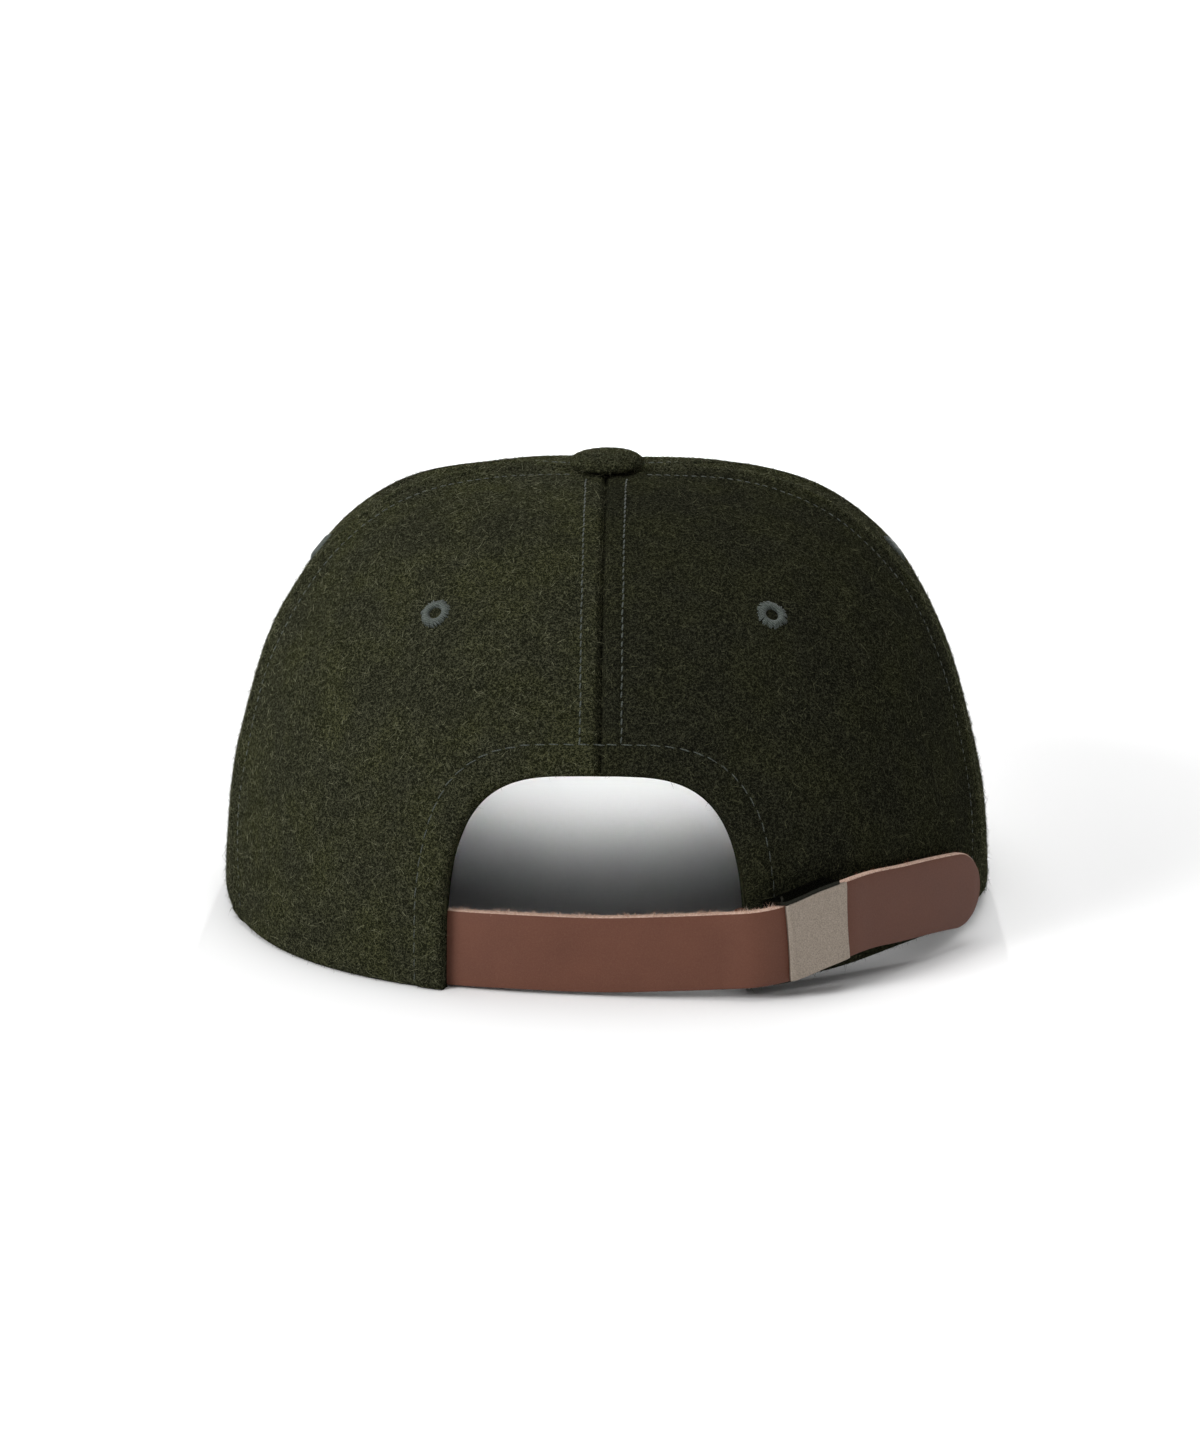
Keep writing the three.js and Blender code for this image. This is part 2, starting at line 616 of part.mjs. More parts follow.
// Keeper: from inside the panel round the arch's edge to a hook round the buckle's bar.
function makeKeeper() {
  const height = fromTable(STRAP_ROUTE, 'height', BUCKLE_AZIMUTH) * STRAP_WIDTH;
  const inward = WOOL + WALL_GAP + KEEPER_THICKNESS / 2;
  const outward = WALL_GAP + KEEPER_THICKNESS / 2;
  const bend = WOOL / 2 + outward;
  const edge = ARCH_CENTRE + ARCH_HALF_WIDTH;
  const edgeAzimuth = THREE.MathUtils.radToDeg(Math.asin(edge / rimPlan(20).length()));
  const besideEdge = (along, depth) => {
    const azimuth = edgeAzimuth + THREE.MathUtils.radToDeg(along / CROWN_BACK);
    return crownAt(azimuth, height, depth);
  };
  const barStart = buckleStart - BAR_REACH;
  const barEnd = barStart + BAR_WIDTH;
  const turn = FIT_GAP + KEEPER_THICKNESS / 2;
  const under = barOut - METAL - turn;
  const hook = METAL / 2 + turn;
  const level = barOut - METAL / 2;
  const route = [
    besideEdge(KEEPER_INSIDE, inward),
    besideEdge(KEEPER_INSIDE / 2, inward),
    besideEdge(0, inward),
    besideEdge(-0.7 * bend, WOOL / 2 + 0.7 * bend),
    besideEdge(-bend, WOOL / 2),
    besideEdge(-0.7 * bend, WOOL / 2 - 0.7 * bend),
    besideEdge(0, -outward),
    besideStrap(barStart - turn, 0, under),
    besideStrap(barEnd, 0, under),
    besideStrap(barEnd + 0.7 * hook, 0, level - 0.7 * hook),
    besideStrap(barEnd + hook, 0, level),
    besideStrap(barEnd + 0.7 * hook, 0, level + 0.7 * hook),
    besideStrap(barEnd, 0, barOut + turn),
    besideStrap(barStart - turn, 0, barOut + turn),
  ];
  const curve = new THREE.CatmullRomCurve3(route);
  const [steps, half] = [44, KEEPER_THICKNESS / 2];
  const face = (side) => [-1, 1].map((end) => Array.from({ length: steps + 1 }, (_, step) => {
    const along = curve.getTangentAt(step / steps).setZ(0).normalize();
    const middle = curve.getPointAt(step / steps);
    const out = along.clone().cross(UP).multiplyScalar(side * half);
    const rise = crownSlope(middle).lerp(strapFrame(barStart).upward, smooth(step / steps, 0.4, 0.7));
    rise.multiplyScalar(end * KEEPER_WIDTH / 2);
    return middle.add(out).add(rise);
  }));
  return makeMesh('strap_keeper', shellGeometry(face(1), face(-1)), LEATHER_BROWN);
}

// The whole cap, with its origin on the floor under the middle of its outline.
function makeCap() {
  const cap = new THREE.Group();
  cap.add(...makePanels(), makeButton(), makeBrim(), makeSweatband());
  for (const [row, azimuth] of Object.entries(EYELET_AZIMUTHS)) {
    cap.add(makeEyelet(`eyelet_${row}_left`, -azimuth), makeEyelet(`eyelet_${row}_right`, azimuth));
  }
  cap.add(makeStrap(), makeBuckleFrame(), makeBucklePlate(), makeKeeper());
  const reach = new THREE.Box3().setFromObject(cap);
  const middle = reach.getCenter(new THREE.Vector3());
  cap.position.set(-middle.x, -middle.y, -reach.min.z);
  return cap;
}

export default makeCap();
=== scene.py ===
# A five-panel cap of olive felted wool, seen from behind: covered button, embroidered eyelets,
# curved brim, and a brown leather strap that a folded nickel buckle closes over the back opening.
# Shapes are worked out in millimetres round the crown's middle, then put in place in metres.
import math

import bpy
import numpy as np
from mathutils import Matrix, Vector


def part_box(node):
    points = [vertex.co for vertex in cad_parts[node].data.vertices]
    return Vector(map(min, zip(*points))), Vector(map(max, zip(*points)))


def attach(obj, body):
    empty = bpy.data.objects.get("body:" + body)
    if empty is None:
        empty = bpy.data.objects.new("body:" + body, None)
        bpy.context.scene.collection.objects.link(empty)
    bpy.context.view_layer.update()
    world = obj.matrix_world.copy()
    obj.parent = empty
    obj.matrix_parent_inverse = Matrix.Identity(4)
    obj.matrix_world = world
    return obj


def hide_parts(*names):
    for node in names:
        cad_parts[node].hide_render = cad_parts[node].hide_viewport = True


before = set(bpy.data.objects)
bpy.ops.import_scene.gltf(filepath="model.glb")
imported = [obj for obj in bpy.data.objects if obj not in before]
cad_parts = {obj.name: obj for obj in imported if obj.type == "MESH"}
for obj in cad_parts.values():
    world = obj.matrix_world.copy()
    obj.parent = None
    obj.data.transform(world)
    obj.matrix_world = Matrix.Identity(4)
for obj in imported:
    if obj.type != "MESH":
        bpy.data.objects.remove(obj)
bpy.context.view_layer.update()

# Camera. A long lens 1.5 m behind the cap and 14.5 degrees above it, one degree to the right of
# straight behind. The button marks the crown's middle, from which every size is taken.
MM = 0.001
APEX_BACK = 5.3
BACK_TURN = 1.0
CAMERA_HEIGHT_ANGLE = 14.5
CAMERA_DISTANCE = 1500
AIM = (-1.7, 0, 39.2)
TARGET_HEIGHT = 50
SENSOR_WIDTH = 36
LENS = 157.5
NEAREST = 0.02
FARTHEST = 60

button_low, button_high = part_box("top_button")
crown_middle = np.array([0, (button_low.y + button_high.y) / 2 / MM + APEX_BACK, 0])


def place(points):
    """Millimetres round the crown's middle to metres in the shared frame."""
    return (np.asarray(points, float) + crown_middle) * MM


def turned(vector, degrees):
    """A vector turned round the upright axis."""
    angle = math.radians(degrees)
    x, y, z = vector
    return np.array([x * math.cos(angle) - y * math.sin(angle),
                     x * math.sin(angle) + y * math.cos(angle), z])


climb_angle = math.radians(CAMERA_HEIGHT_ANGLE)
stand = (0, -CAMERA_DISTANCE * math.cos(climb_angle),
         TARGET_HEIGHT + CAMERA_DISTANCE * math.sin(climb_angle))
eye = Vector(place(turned(stand, BACK_TURN)))
aim = Vector(place(turned(AIM, BACK_TURN)))
camera_data = bpy.data.cameras.new("camera")
camera_data.sensor_width = SENSOR_WIDTH
camera_data.lens = LENS
camera_data.clip_start = NEAREST
camera_data.clip_end = FARTHEST
camera = bpy.data.objects.new("camera", camera_data)
camera.location = eye
camera.rotation_euler = (aim - eye).to_track_quat("-Z", "Y").to_euler()
bpy.context.collection.objects.link(camera)
bpy.context.scene.camera = camera


# Studio. A white floor that runs out past the view, soft boxes overhead, to the left and behind,
# and pale walls all round. The light is strong enough to turn the floor pure white. The low box
# has a narrow beam: it shines under the brim, onto the floor that the back opening shows.
bpy.context.scene.view_settings.view_transform = "Standard"


def linear(colour):
    """An sRGB hex colour as linear red, green, blue and a full alpha."""
    parts = [int(colour[i:i + 2], 16) / 255 for i in (1, 3, 5)]
    bent = [p / 12.92 if p <= 0.04045 else ((p + 0.055) / 1.055) ** 2.4 for p in parts]
    return (*bent, 1)


def add(tree, kind, inputs=None, **settings):
    """Adds one shader node with its settings; its inputs take values or other nodes' outputs."""
    made = tree.nodes.new("ShaderNode" + kind)
    for name, value in settings.items():
        setattr(made, name, value)
    for name, value in (inputs or {}).items():
        if isinstance(value, bpy.types.NodeSocket):
            tree.links.new(value, made.inputs[name])
        else:
            made.inputs[name].default_value = value
    return made


def new_material(name):
    """An empty node material and its output node."""
    material = bpy.data.materials.new(name)
    material.use_nodes = True
    material.node_tree.nodes.clear()
    return material, material.node_tree, add(material.node_tree, "OutputMaterial")


def link_mesh(name, points, faces, materials, slots=None, smooth=True):
    """A mesh object from points in metres and arrays of quads and triangles."""
    mesh = bpy.data.meshes.new(name)
    counts = np.concatenate([np.full(len(group), group.shape[1]) for group in faces])
    corners = np.concatenate([group.ravel() for group in faces]).astype(np.int32)
    mesh.vertices.add(len(points))
    mesh.vertices.foreach_set("co", np.asarray(points, np.float32).ravel())
    mesh.loops.add(len(corners))
    mesh.loops.foreach_set("vertex_index", corners)
    mesh.polygons.add(len(counts))
    mesh.polygons.foreach_set("loop_start", np.concatenate([[0], np.cumsum(counts)[:-1]]))
    mesh.polygons.foreach_set("use_smooth", np.full(len(counts), smooth))
    for material in materials:
        mesh.materials.append(material)
    if slots is not None:
        mesh.polygons.foreach_set("material_index", np.asarray(slots, np.int32))
    mesh.update()
    made = bpy.data.objects.new(name, mesh)
    bpy.context.collection.objects.link(made)
    return made


white_paint, tree, output = new_material("white_studio_floor")
shader = add(tree, "BsdfPrincipled", {"Base Color": linear("#F7F7F7"), "Roughness": 0.75,
                                      "Specular IOR Level": 0.1})
tree.links.new(shader.outputs["BSDF"], output.inputs["Surface"])
FLOOR_REACH = 14
WALL_LIGHT = 0.44
LIGHT_AIM = (0, 0, 0.04)
corners = np.array([[-1, -1, 0], [1, -1, 0], [1, 1, 0], [-1, 1, 0]]) * FLOOR_REACH
floor = link_mesh("studio_floor", corners, [np.array([[0, 1, 2, 3]])], [white_paint])

world = bpy.data.worlds.new("studio_walls")
bpy.context.scene.world = world
world.use_nodes = True
walls = world.node_tree.nodes["Background"]
walls.inputs["Color"].default_value = (1, 1, 1, 1)
walls.inputs["Strength"].default_value = WALL_LIGHT

SOFT_BOXES = {
    "top": {"at": (0.0, 0.25, 1.5), "size": (1.3, 1.3), "watts": 12, "spread": 180},
    "key": {"at": (-1.25, -0.95, 0.85), "size": (0.7, 0.7), "watts": 22, "spread": 180},
    "rear": {"at": (0.6, 1.6, 0.6), "size": (1.2, 0.7), "watts": 14, "spread": 180},
    "low": {"at": (0.01, 1.55, 0.2775), "size": (0.06, 0.26), "watts": 0.25, "spread": 8},
}
for name, box in SOFT_BOXES.items():
    light = bpy.data.lights.new(name, "AREA")
    light.shape = "RECTANGLE"
    light.size, light.size_y = box["size"]
    light.energy = box["watts"]
    light.spread = math.radians(box["spread"])
    lamp = bpy.data.objects.new(name, light)
    lamp.location = box["at"]
    toward = Vector(LIGHT_AIM) - lamp.location
    lamp.rotation_euler = toward.to_track_quat("-Z", "Y").to_euler()
    bpy.context.collection.objects.link(lamp)


# Crown. Five panels of 2 mm felted wool, sewn edge to edge and turned inside out, so each seam
# is a groove with the doubled cloth standing a little proud on both sides of it. The felt is a
# matt mat of fine fibres, darker between them and lighter where the loose ends catch the light.
HALF_WIDTH = 91
BACK_REACH = 97
FRONT_REACH = 99
HEIGHT = 101.6
PLAN_POWER = 2.25
PLAN_FALL = 0.75
WOOL = 2
HOLE_RADIUS = 2
RIDGE_HEIGHT = 0.9
RIDGE_WIDTH = 7
WAVE_HEIGHT = 0.28
DOUBLED_CLOTH = 0.42
STITCH_PULL = 0.3
SEAM_LAP = 0.15
SEAM_BEND = 0.7
SEAM_TOP = 0.8
PROFILES = {
    "back": {"taper": 0.836, "rise": 0.903},
    "side": {"taper": 0.573, "rise": 1.058},
    "front": {"taper": 1.017, "rise": 1.004},
}
SEAMS = {
    "back": {"rim": 0, "top": 0, "ridge": -0.6},
    "rear": {"rim": 66, "top": 82, "ridge": 1},
    "fore": {"rim": 127, "top": 103, "ridge": 0.6},
}
SIDE_RISE = 2
RIM_LIFTS = {"azimuth": [14, 28, 46, 60, 88], "lift": [0, 2.42, 4.4, 3.96, 0]}
BRIM_HALF_WIDTH = 88
BRIM_THICKNESS = 3.2
BRIM_BEND = 24
BRIM_CORNER = 118
FIT_GAP = 0.3
ARCH_HALF_WIDTH = 34.6
ARCH_HEIGHT = 50
ARCH_CENTRE = -1.2
ARCH_POWER = 3.5
HEM_WIDTH = 6.3
HEM_PROUD = 0.7
HEM_DEPTH = 1.5
HEM_PULL = 0.35
SEAM_STITCH = 4.4
EDGE_ROUND = 1.3
SEAM_ROUND = 1.6
INSIDE_ROUND = 0.2
FAR_OFF = 1000


def lerp(low, high, share):
    return low + (high - low) * share


def ease(value, low, high):
    """0 below low, 1 above high, and a smooth step between them."""
    share = np.clip((value - low) / (high - low), 0, 1)
    return share * share * (3 - 2 * share)


def from_table(value, stops, heights):
    """Height at a value between the stops of a table, eased from each stop to the next."""
    result = np.full(np.shape(value), float(heights[0]))
    for i in range(len(stops) - 1):
        step = heights[i + 1] - heights[i]
        result = result + step * ease(value, stops[i], stops[i + 1])
    return result


def wrapped(azimuth):
    """The same direction as an azimuth between -180 and 180 degrees."""
    return (azimuth + 180) % 360 - 180


def blend_profile(column, azimuth):
    """Side value of the profile, turned into the back or front one by the squared cosine."""
    along = np.cos(np.radians(azimuth))
    end = np.where(along > 0, PROFILES["back"][column], PROFILES["front"][column])
    return lerp(PROFILES["side"][column], end, along * along)


def rim_plan(azimuth):
    """Plan of the rim: a superellipse, longer in front than behind."""
    across, along = np.sin(np.radians(azimuth)), np.cos(np.radians(azimuth))
    reach = np.where(along > 0, BACK_REACH, FRONT_REACH)
    total = np.abs(across / HALF_WIDTH) ** PLAN_POWER + np.abs(along / reach) ** PLAN_POWER
    radius = total ** (-1 / PLAN_POWER)
    return radius * across, -radius * along, radius


def brim_top(x):
    """Height of the brim's top side: a parabola over its middle line."""
    return BRIM_THICKNESS + BRIM_BEND * (1 - (x / BRIM_HALF_WIDTH) ** 2)


def rim_height(azimuth):
    """Rim on the floor behind, lifted under the buckle, and up over the brim in front."""
    turn = np.abs(azimuth)
    lift = from_table(azimuth, RIM_LIFTS["azimuth"], RIM_LIFTS["lift"])
    low = SIDE_RISE * ease(turn, 45, 90) + lift
    x, _, radius = rim_plan(azimuth)
    front = brim_top(x * (1 - WOOL / radius)) + FIT_GAP
    return lerp(low, front, ease(turn, 88, BRIM_CORNER - 2))


def seam_azimuth(seam, climb):
    """Azimuth of a seam on its way from the rim, climb 0, to the button, climb 1."""
    return lerp(seam["rim"], seam["top"], np.minimum(1, climb / SEAM_TOP) ** SEAM_BEND)


def plan_share(climb):
    """Share of the way out from the apex to the rim, in plan, at a climb."""
    return np.clip(np.cos(climb * np.pi / 2), 0, 1) ** PLAN_FALL


def crown_base(azimuth, climb):
    """Smooth crown: each azimuth runs straight to the apex in plan, up a superellipse curve."""
    turn = wrapped(azimuth)
    top = HOLE_RADIUS / HALF_WIDTH
    share = top + (1 - top) * plan_share(climb)
    flat = share ** (1 / blend_profile("taper", turn))
    steep = np.sqrt(np.maximum(0, 1 - flat * flat)) ** blend_profile("rise", turn)
    x, y, _ = rim_plan(turn)
    z = rim_height(turn)
    y = -APEX_BACK + (y + APEX_BACK) * share
    return np.stack([x * share, y, z + (HEIGHT - z) * steep], -1)


def unit(vectors):
    return vectors / np.maximum(np.linalg.norm(vectors, axis=-1, keepdims=True), 1e-9)


def crown_normal(azimuth, climb):
    """Outward direction of the crown, level at the rim."""
    low, high = np.maximum(0, climb - 0.01), np.minimum(0.995, climb + 0.01)
    across = crown_base(azimuth + 0.5, climb) - crown_base(azimuth - 0.5, climb)
    upward = crown_base(azimuth, high) - crown_base(azimuth, low)
    normal = np.cross(across, upward)
    normal[..., 2] = np.where(climb < 0.02, 0, normal[..., 2])
    return unit(normal)


def apex_reach(point):
    """Level distance of a point from the button's middle line."""
    return np.hypot(point[..., 0], point[..., 1] + APEX_BACK)


def seam_distance(seam, azimuth, climb):
    """Level millimetres round the crown from a seam, or from its mirror image on the left."""
    away = np.abs(wrapped(azimuth)) - seam_azimuth(seam, climb)
    return np.radians(away) * apex_reach(crown_base(azimuth, climb))


def arch_distance(x, z):
    """Millimetres outside the arch's edge: the superellipse's level over its slope."""
    across, up = np.abs(x - ARCH_CENTRE) / ARCH_HALF_WIDTH, np.maximum(z, 0.01) / ARCH_HEIGHT
    level = (across ** ARCH_POWER + up ** ARCH_POWER) ** (1 / ARCH_POWER)
    slope = np.hypot((across / level) ** (ARCH_POWER - 1) / ARCH_HALF_WIDTH,
                     (up / level) ** (ARCH_POWER - 1) / ARCH_HEIGHT)
    return (level - 1) / slope


def rounded(distance, radius):
    """How far an edge of this radius falls away at a distance from it: a quarter circle."""
    inside = np.clip(radius - distance, 0, radius)
    return radius - np.sqrt(np.maximum(radius * radius - inside * inside, 0))


def crown_relief(azimuth, climb):
    """Cloth's height over the smooth crown: broad ridges along the seams, the doubled cloth
    beside each seam and hem, the valley that each row of stitches pulls in, and soft waves."""
    point = crown_base(azimuth, climb)
    fade = ease(climb, 0, 0.2) * (1 - ease(climb, 0.8, 1))
    below_button = 1 - ease(climb, 0.92, 0.985)
    radius = rim_plan(azimuth)[2] * plan_share(climb)
    turn = np.abs(wrapped(azimuth))
    height = 0
    for seam in SEAMS.values():
        away = np.radians(turn - seam_azimuth(seam, climb)) * radius
        height = height + RIDGE_HEIGHT * seam["ridge"] * np.exp(-(away / RIDGE_WIDTH) ** 2) * fade
        gap = np.abs(seam_distance(seam, azimuth, climb))
        doubled = ease(gap, 0.4, 1.6) * (1 - ease(gap, SEAM_STITCH - 0.7, SEAM_STITCH + 1.4))
        pulled = np.exp(-((gap - SEAM_STITCH) / 0.7) ** 2)
        height = height + (DOUBLED_CLOTH * doubled - STITCH_PULL * pulled) * below_button
    behind = np.where(turn < 90, 1.0, 0.0)
    gap = arch_distance(point[..., 0], point[..., 2])
    hem = HEM_PROUD * (1 - ease(gap, HEM_WIDTH - 1.2, HEM_WIDTH + 1.2))
    pulled = HEM_PULL * np.exp(-((gap - HEM_WIDTH) / 0.8) ** 2)
    height = height + (hem - pulled) * behind
    wave = (np.sin(0.083 * point[..., 0] + 0.061 * point[..., 2] + 1.3)
            * np.sin(0.11 * point[..., 2] - 0.047 * point[..., 0] + 0.4)
            + 0.6 * np.sin(0.19 * point[..., 0] + 0.8) * np.sin(0.16 * point[..., 2] + 2.1))
    return height + WAVE_HEIGHT * wave * fade


def edge_fall(azimuth, climb):
    """How far the cloth's face falls away at the arch, the rim and the seams beside it."""
    point = crown_base(azimuth, climb)
    turn = wrapped(azimuth)
    rim_gap = np.abs(point[..., 2] - rim_height(turn))
    arch_gap = np.where(np.abs(turn) < 90, np.abs(arch_distance(point[..., 0], point[..., 2])),
                        FAR_OFF)
    fall = rounded(np.minimum(rim_gap, arch_gap), EDGE_ROUND)
    for seam in SEAMS.values():
        gap = np.maximum(np.abs(seam_distance(seam, azimuth, climb)) - SEAM_LAP, 0)
        fall = np.maximum(fall, rounded(gap, SEAM_ROUND))
    return fall


def climb_at(azimuth, height):
    """How far up the crown a height lies, found by halving."""
    low = np.zeros(np.shape(height))
    high = np.ones(np.shape(height))
    for _ in range(30):
        middle = (low + high) / 2
        under = crown_base(azimuth, middle)[..., 2] < height
        low, high = np.where(under, middle, low), np.where(under, high, middle)
    return low


def crowded(count, power=1.7):
    """Shares from 0 to 1, closer together at both ends."""
    share = np.linspace(-1, 1, count)
    even = np.sign(share) * (1 - (1 - np.abs(share)) ** power)
    return (even + 1) / 2


def grid_faces(rows, columns, start=0):
    """Quads of a grid of points that is stored row by row."""
    corner = start + np.arange(rows - 1)[:, None] * columns + np.arange(columns - 1)
    return np.stack([corner, corner + 1, corner + columns + 1, corner + columns], -1).reshape(-1, 4)


def shell(outer, inner):
    """Points and outward quads of the closed body between two grids of one size."""
    rows, columns = outer.shape[:2]
    under = rows * columns
    points = np.concatenate([outer.reshape(-1, 3), inner.reshape(-1, 3)])
    border = np.concatenate([
        np.arange(columns), np.arange(1, rows) * columns + columns - 1,
        (rows - 1) * columns + np.arange(columns - 2, -1, -1),
        np.arange(rows - 2, 0, -1) * columns])
    after = np.roll(border, -1)
    rim = np.stack([border, border + under, after + under, after], -1)
    quads = np.concatenate([grid_faces(rows, columns),
                            grid_faces(rows, columns, under)[:, ::-1], rim])
    a, b, c = (points[quads[:, i]] for i in (0, 1, 2))
    if np.einsum("ij,ij->i", a, np.cross(b, c)).sum() < 0:
        quads = quads[:, ::-1]
    return points, quads


# Each row: the spacing of the fibres in mm, the turn of their pattern, and the half width of a
# line in the noise's own values. A wool fibre is 0.03 mm thick, too fine to show, so the lines
# are drawn a few times wider.
FELT_FIBRES = [
    (0.65, (0.0, 0.0, 0.0), 0.06),
    (1.1, (0.9, 0.4, 0.2), 0.04),
    (0.5, (0.3, 1.1, 0.7), 0.07),
]
FELT_GRIT = 0.32
FELT_CLOUDS = 14


def fibre_lines(tree, where, size, turn, thin):
    """Curled lines, broken into lengths: 1 along the middle values of one noise, where another
    noise lets them show. Size is how far apart they lie, in millimetres."""
    lay = add(tree, "Mapping", {"Vector": where, "Rotation": turn, "Location": turn})
    curl = add(tree, "TexNoise", {"Vector": lay.outputs["Vector"], "Scale": 1 / (size * MM),
                                  "Detail": 1.5, "Roughness": 0.55, "Distortion": 0.5})
    away = add(tree, "Math", {0: curl.outputs["Fac"], 1: 0.5}, operation="SUBTRACT")
    gap = add(tree, "Math", {0: away.outputs["Value"]}, operation="ABSOLUTE")
    line = add(tree, "MapRange", {"Value": gap.outputs["Value"], "From Max": thin,
                                  "To Min": 1, "To Max": 0})
    broken = add(tree, "TexNoise", {"Vector": lay.outputs["Vector"],
                                    "Scale": 1 / (0.8 * size * MM), "Detail": 0})
    shown = add(tree, "MapRange", {"Value": broken.outputs["Fac"], "From Min": 0.44,
                                   "From Max": 0.6})
    return add(tree, "Math", {0: line.outputs["Result"], 1: shown.outputs["Result"]},
               operation="MULTIPLY").outputs["Value"]


def felt_material(name, deep, body, fibre):
    """Felted wool: dark between the fibres, lighter on them, with greyer and warmer clouds."""
    material, tree, output = new_material(name)
    where = add(tree, "TexCoord").outputs["Object"]
    lines = [fibre_lines(tree, where, *row) for row in FELT_FIBRES]
    mat = lines[0]
    for line in lines[1:]:
        mat = add(tree, "Math", {0: mat, 1: line}, operation="MAXIMUM").outputs["Value"]
    crumb = add(tree, "TexNoise", {"Vector": where, "Scale": 1 / (FELT_GRIT * MM), "Detail": 3,
                                   "Roughness": 0.75})
    grit = add(tree, "MapRange", {"Value": crumb.outputs["Fac"], "From Min": 0.36,
                                  "From Max": 0.66})
    cloud = add(tree, "TexNoise", {"Vector": where, "Scale": 1 / (FELT_CLOUDS * MM), "Detail": 3,
                                   "Roughness": 0.55})
    ground = add(tree, "MixRGB", {"Fac": grit.outputs["Result"], "Color1": linear(deep),
                                  "Color2": linear(body)})
    lit = add(tree, "MixRGB", {"Fac": mat, "Color1": ground.outputs["Color"],
                               "Color2": linear(fibre)})
    tone = add(tree, "MapRange", {"Value": cloud.outputs["Fac"], "From Min": 0.35,
                                  "From Max": 0.65, "To Min": 0.88, "To Max": 1.12})
    grey = add(tree, "MapRange", {"Value": cloud.outputs["Fac"], "From Min": 0.4,
                                  "From Max": 0.62, "To Min": 0.84, "To Max": 1.06})
    hue = add(tree, "HueSaturation", {"Saturation": grey.outputs["Result"],
                                      "Value": tone.outputs["Result"],
                                      "Color": lit.outputs["Color"]})
    height = add(tree, "Math", {0: mat, 1: grit.outputs["Result"]}, operation="ADD")
    bump = add(tree, "Bump", {"Height": height.outputs["Value"], "Strength": 0.7,
                              "Distance": 0.3 * MM})
    shader = add(tree, "BsdfPrincipled", {
        "Base Color": hue.outputs["Color"], "Roughness": 1, "Specular IOR Level": 0,
        "Normal": bump.outputs["Normal"]})
    tree.links.new(shader.outputs["BSDF"], output.inputs["Surface"])
    return material


# The right back panel is cut with its nap the other way. Its felt is a darker copy of the same
# felt: painted shade for the duller look that the nap gives on its side of the middle seam.
felt = felt_material("olive_felted_wool", "#101109", "#232518", "#55563F")
nap_shaded_felt = felt_material("olive_felted_wool_painted_nap_shade", "#0D0E09", "#1D1E14", "#434432")
FELTS = {"back_panel_right": nap_shaded_felt}


def panel_grid(start, end, climbs, shares):
    """Azimuth and climb over a panel between two seams, each a function of climb, and past both
    by the seams' lap."""
    climb = np.broadcast_to(climbs[:, None], (len(climbs), len(shares)))
    lap = np.degrees(SEAM_LAP / apex_reach(crown_base(start(climb), climb)))
    return lerp(start(climb) - lap, end(climb) + lap, shares), climb


def behind_view(x, z, clearance):
    """Azimuth and climb of the points on the crown's back that lie at x and z seen from behind,
    found step by step. None is lower than a clearance over the rim."""
    azimuth = np.degrees(np.arcsin(np.clip(x / BACK_REACH, -1, 1)))
    for _ in range(25):
        climb = climb_at(azimuth, np.maximum(z, rim_height(azimuth) + clearance))
        point = crown_base(azimuth, climb)
        azimuth = azimuth + np.degrees((x - point[:, 0]) / np.hypot(point[:, 0], point[:, 1]))
    return azimuth, climb


def arch_edge(sign, count):
    """Azimuth and climb of the arch's edge from the middle seam down to the rim on one side."""
    slant = np.linspace(0, np.pi / 2, 400)
    x = ARCH_CENTRE + sign * ARCH_HALF_WIDTH * np.sin(slant) ** (2 / ARCH_POWER)
    z = ARCH_HEIGHT * np.cos(slant) ** (2 / ARCH_POWER)
    keep = x * sign >= 0
    x, z = np.append(0, x[keep]), np.append(z[keep][0], z[keep])
    length = np.append(0, np.cumsum(np.hypot(np.diff(x), np.diff(z))))
    even = np.linspace(0, 1, count) ** 1.35 * length[-1]
    return behind_view(np.interp(even, length, x), np.interp(even, length, z), 0)


def back_panel_grid(sign, rows, arch_columns, rim_columns):
    """Azimuth and climb over a back panel: its lower side runs down the arch, then along the
    rim, and the lines across fan out from there to the middle seam, the button and the seam."""
    azimuth, climb = arch_edge(sign, arch_columns)
    rim = lerp(abs(azimuth[-1]), SEAMS["rear"]["rim"], crowded(rim_columns, 1.25))[1:]
    azimuth = np.append(np.abs(azimuth), rim)
    climb = np.append(climb, np.zeros(len(rim)))
    low = azimuth / seam_azimuth(SEAMS["rear"], climb)
    share = crowded(len(azimuth), 1.6)
    up = np.linspace(0, 1, rows)[:, None] ** 1.35
    climbs = climb + (1 - climb) * up
    across = low + (share - low) * (1 - (1 - up) ** 1.8)
    azimuths = across * seam_azimuth(SEAMS["rear"], climbs)
    lap = np.degrees(SEAM_LAP / apex_reach(crown_base(sign * azimuths, climbs)))
    return sign * (azimuths + lap * (2 * across - 1)), climbs


def panel_layers(azimuth, climb):
    """Outer and inner face of a panel: the relief outside, the hem's second layer inside, and
    both faces rounded at the edges."""
    base, normal = crown_base(azimuth, climb), crown_normal(azimuth, climb)
    fall = edge_fall(azimuth, climb)
    relief = crown_relief(azimuth, climb)
    outer = base + normal * (relief - fall)[..., None]
    behind = np.abs(wrapped(azimuth)) < 90
    gap = arch_distance(base[..., 0], base[..., 2])
    hem = np.where(behind, 1 - ease(gap, HEM_WIDTH - 1.3, HEM_WIDTH + 1.2), 0)
    inner = base - normal * (WOOL + HEM_DEPTH * hem - np.minimum(fall, INSIDE_ROUND))[..., None]
    return outer, inner


def seam_line(name, sign):
    """A seam's azimuth as a function of climb, on the right for sign 1 and on the left for -1."""
    return lambda climb: sign * seam_azimuth(SEAMS[name], climb)


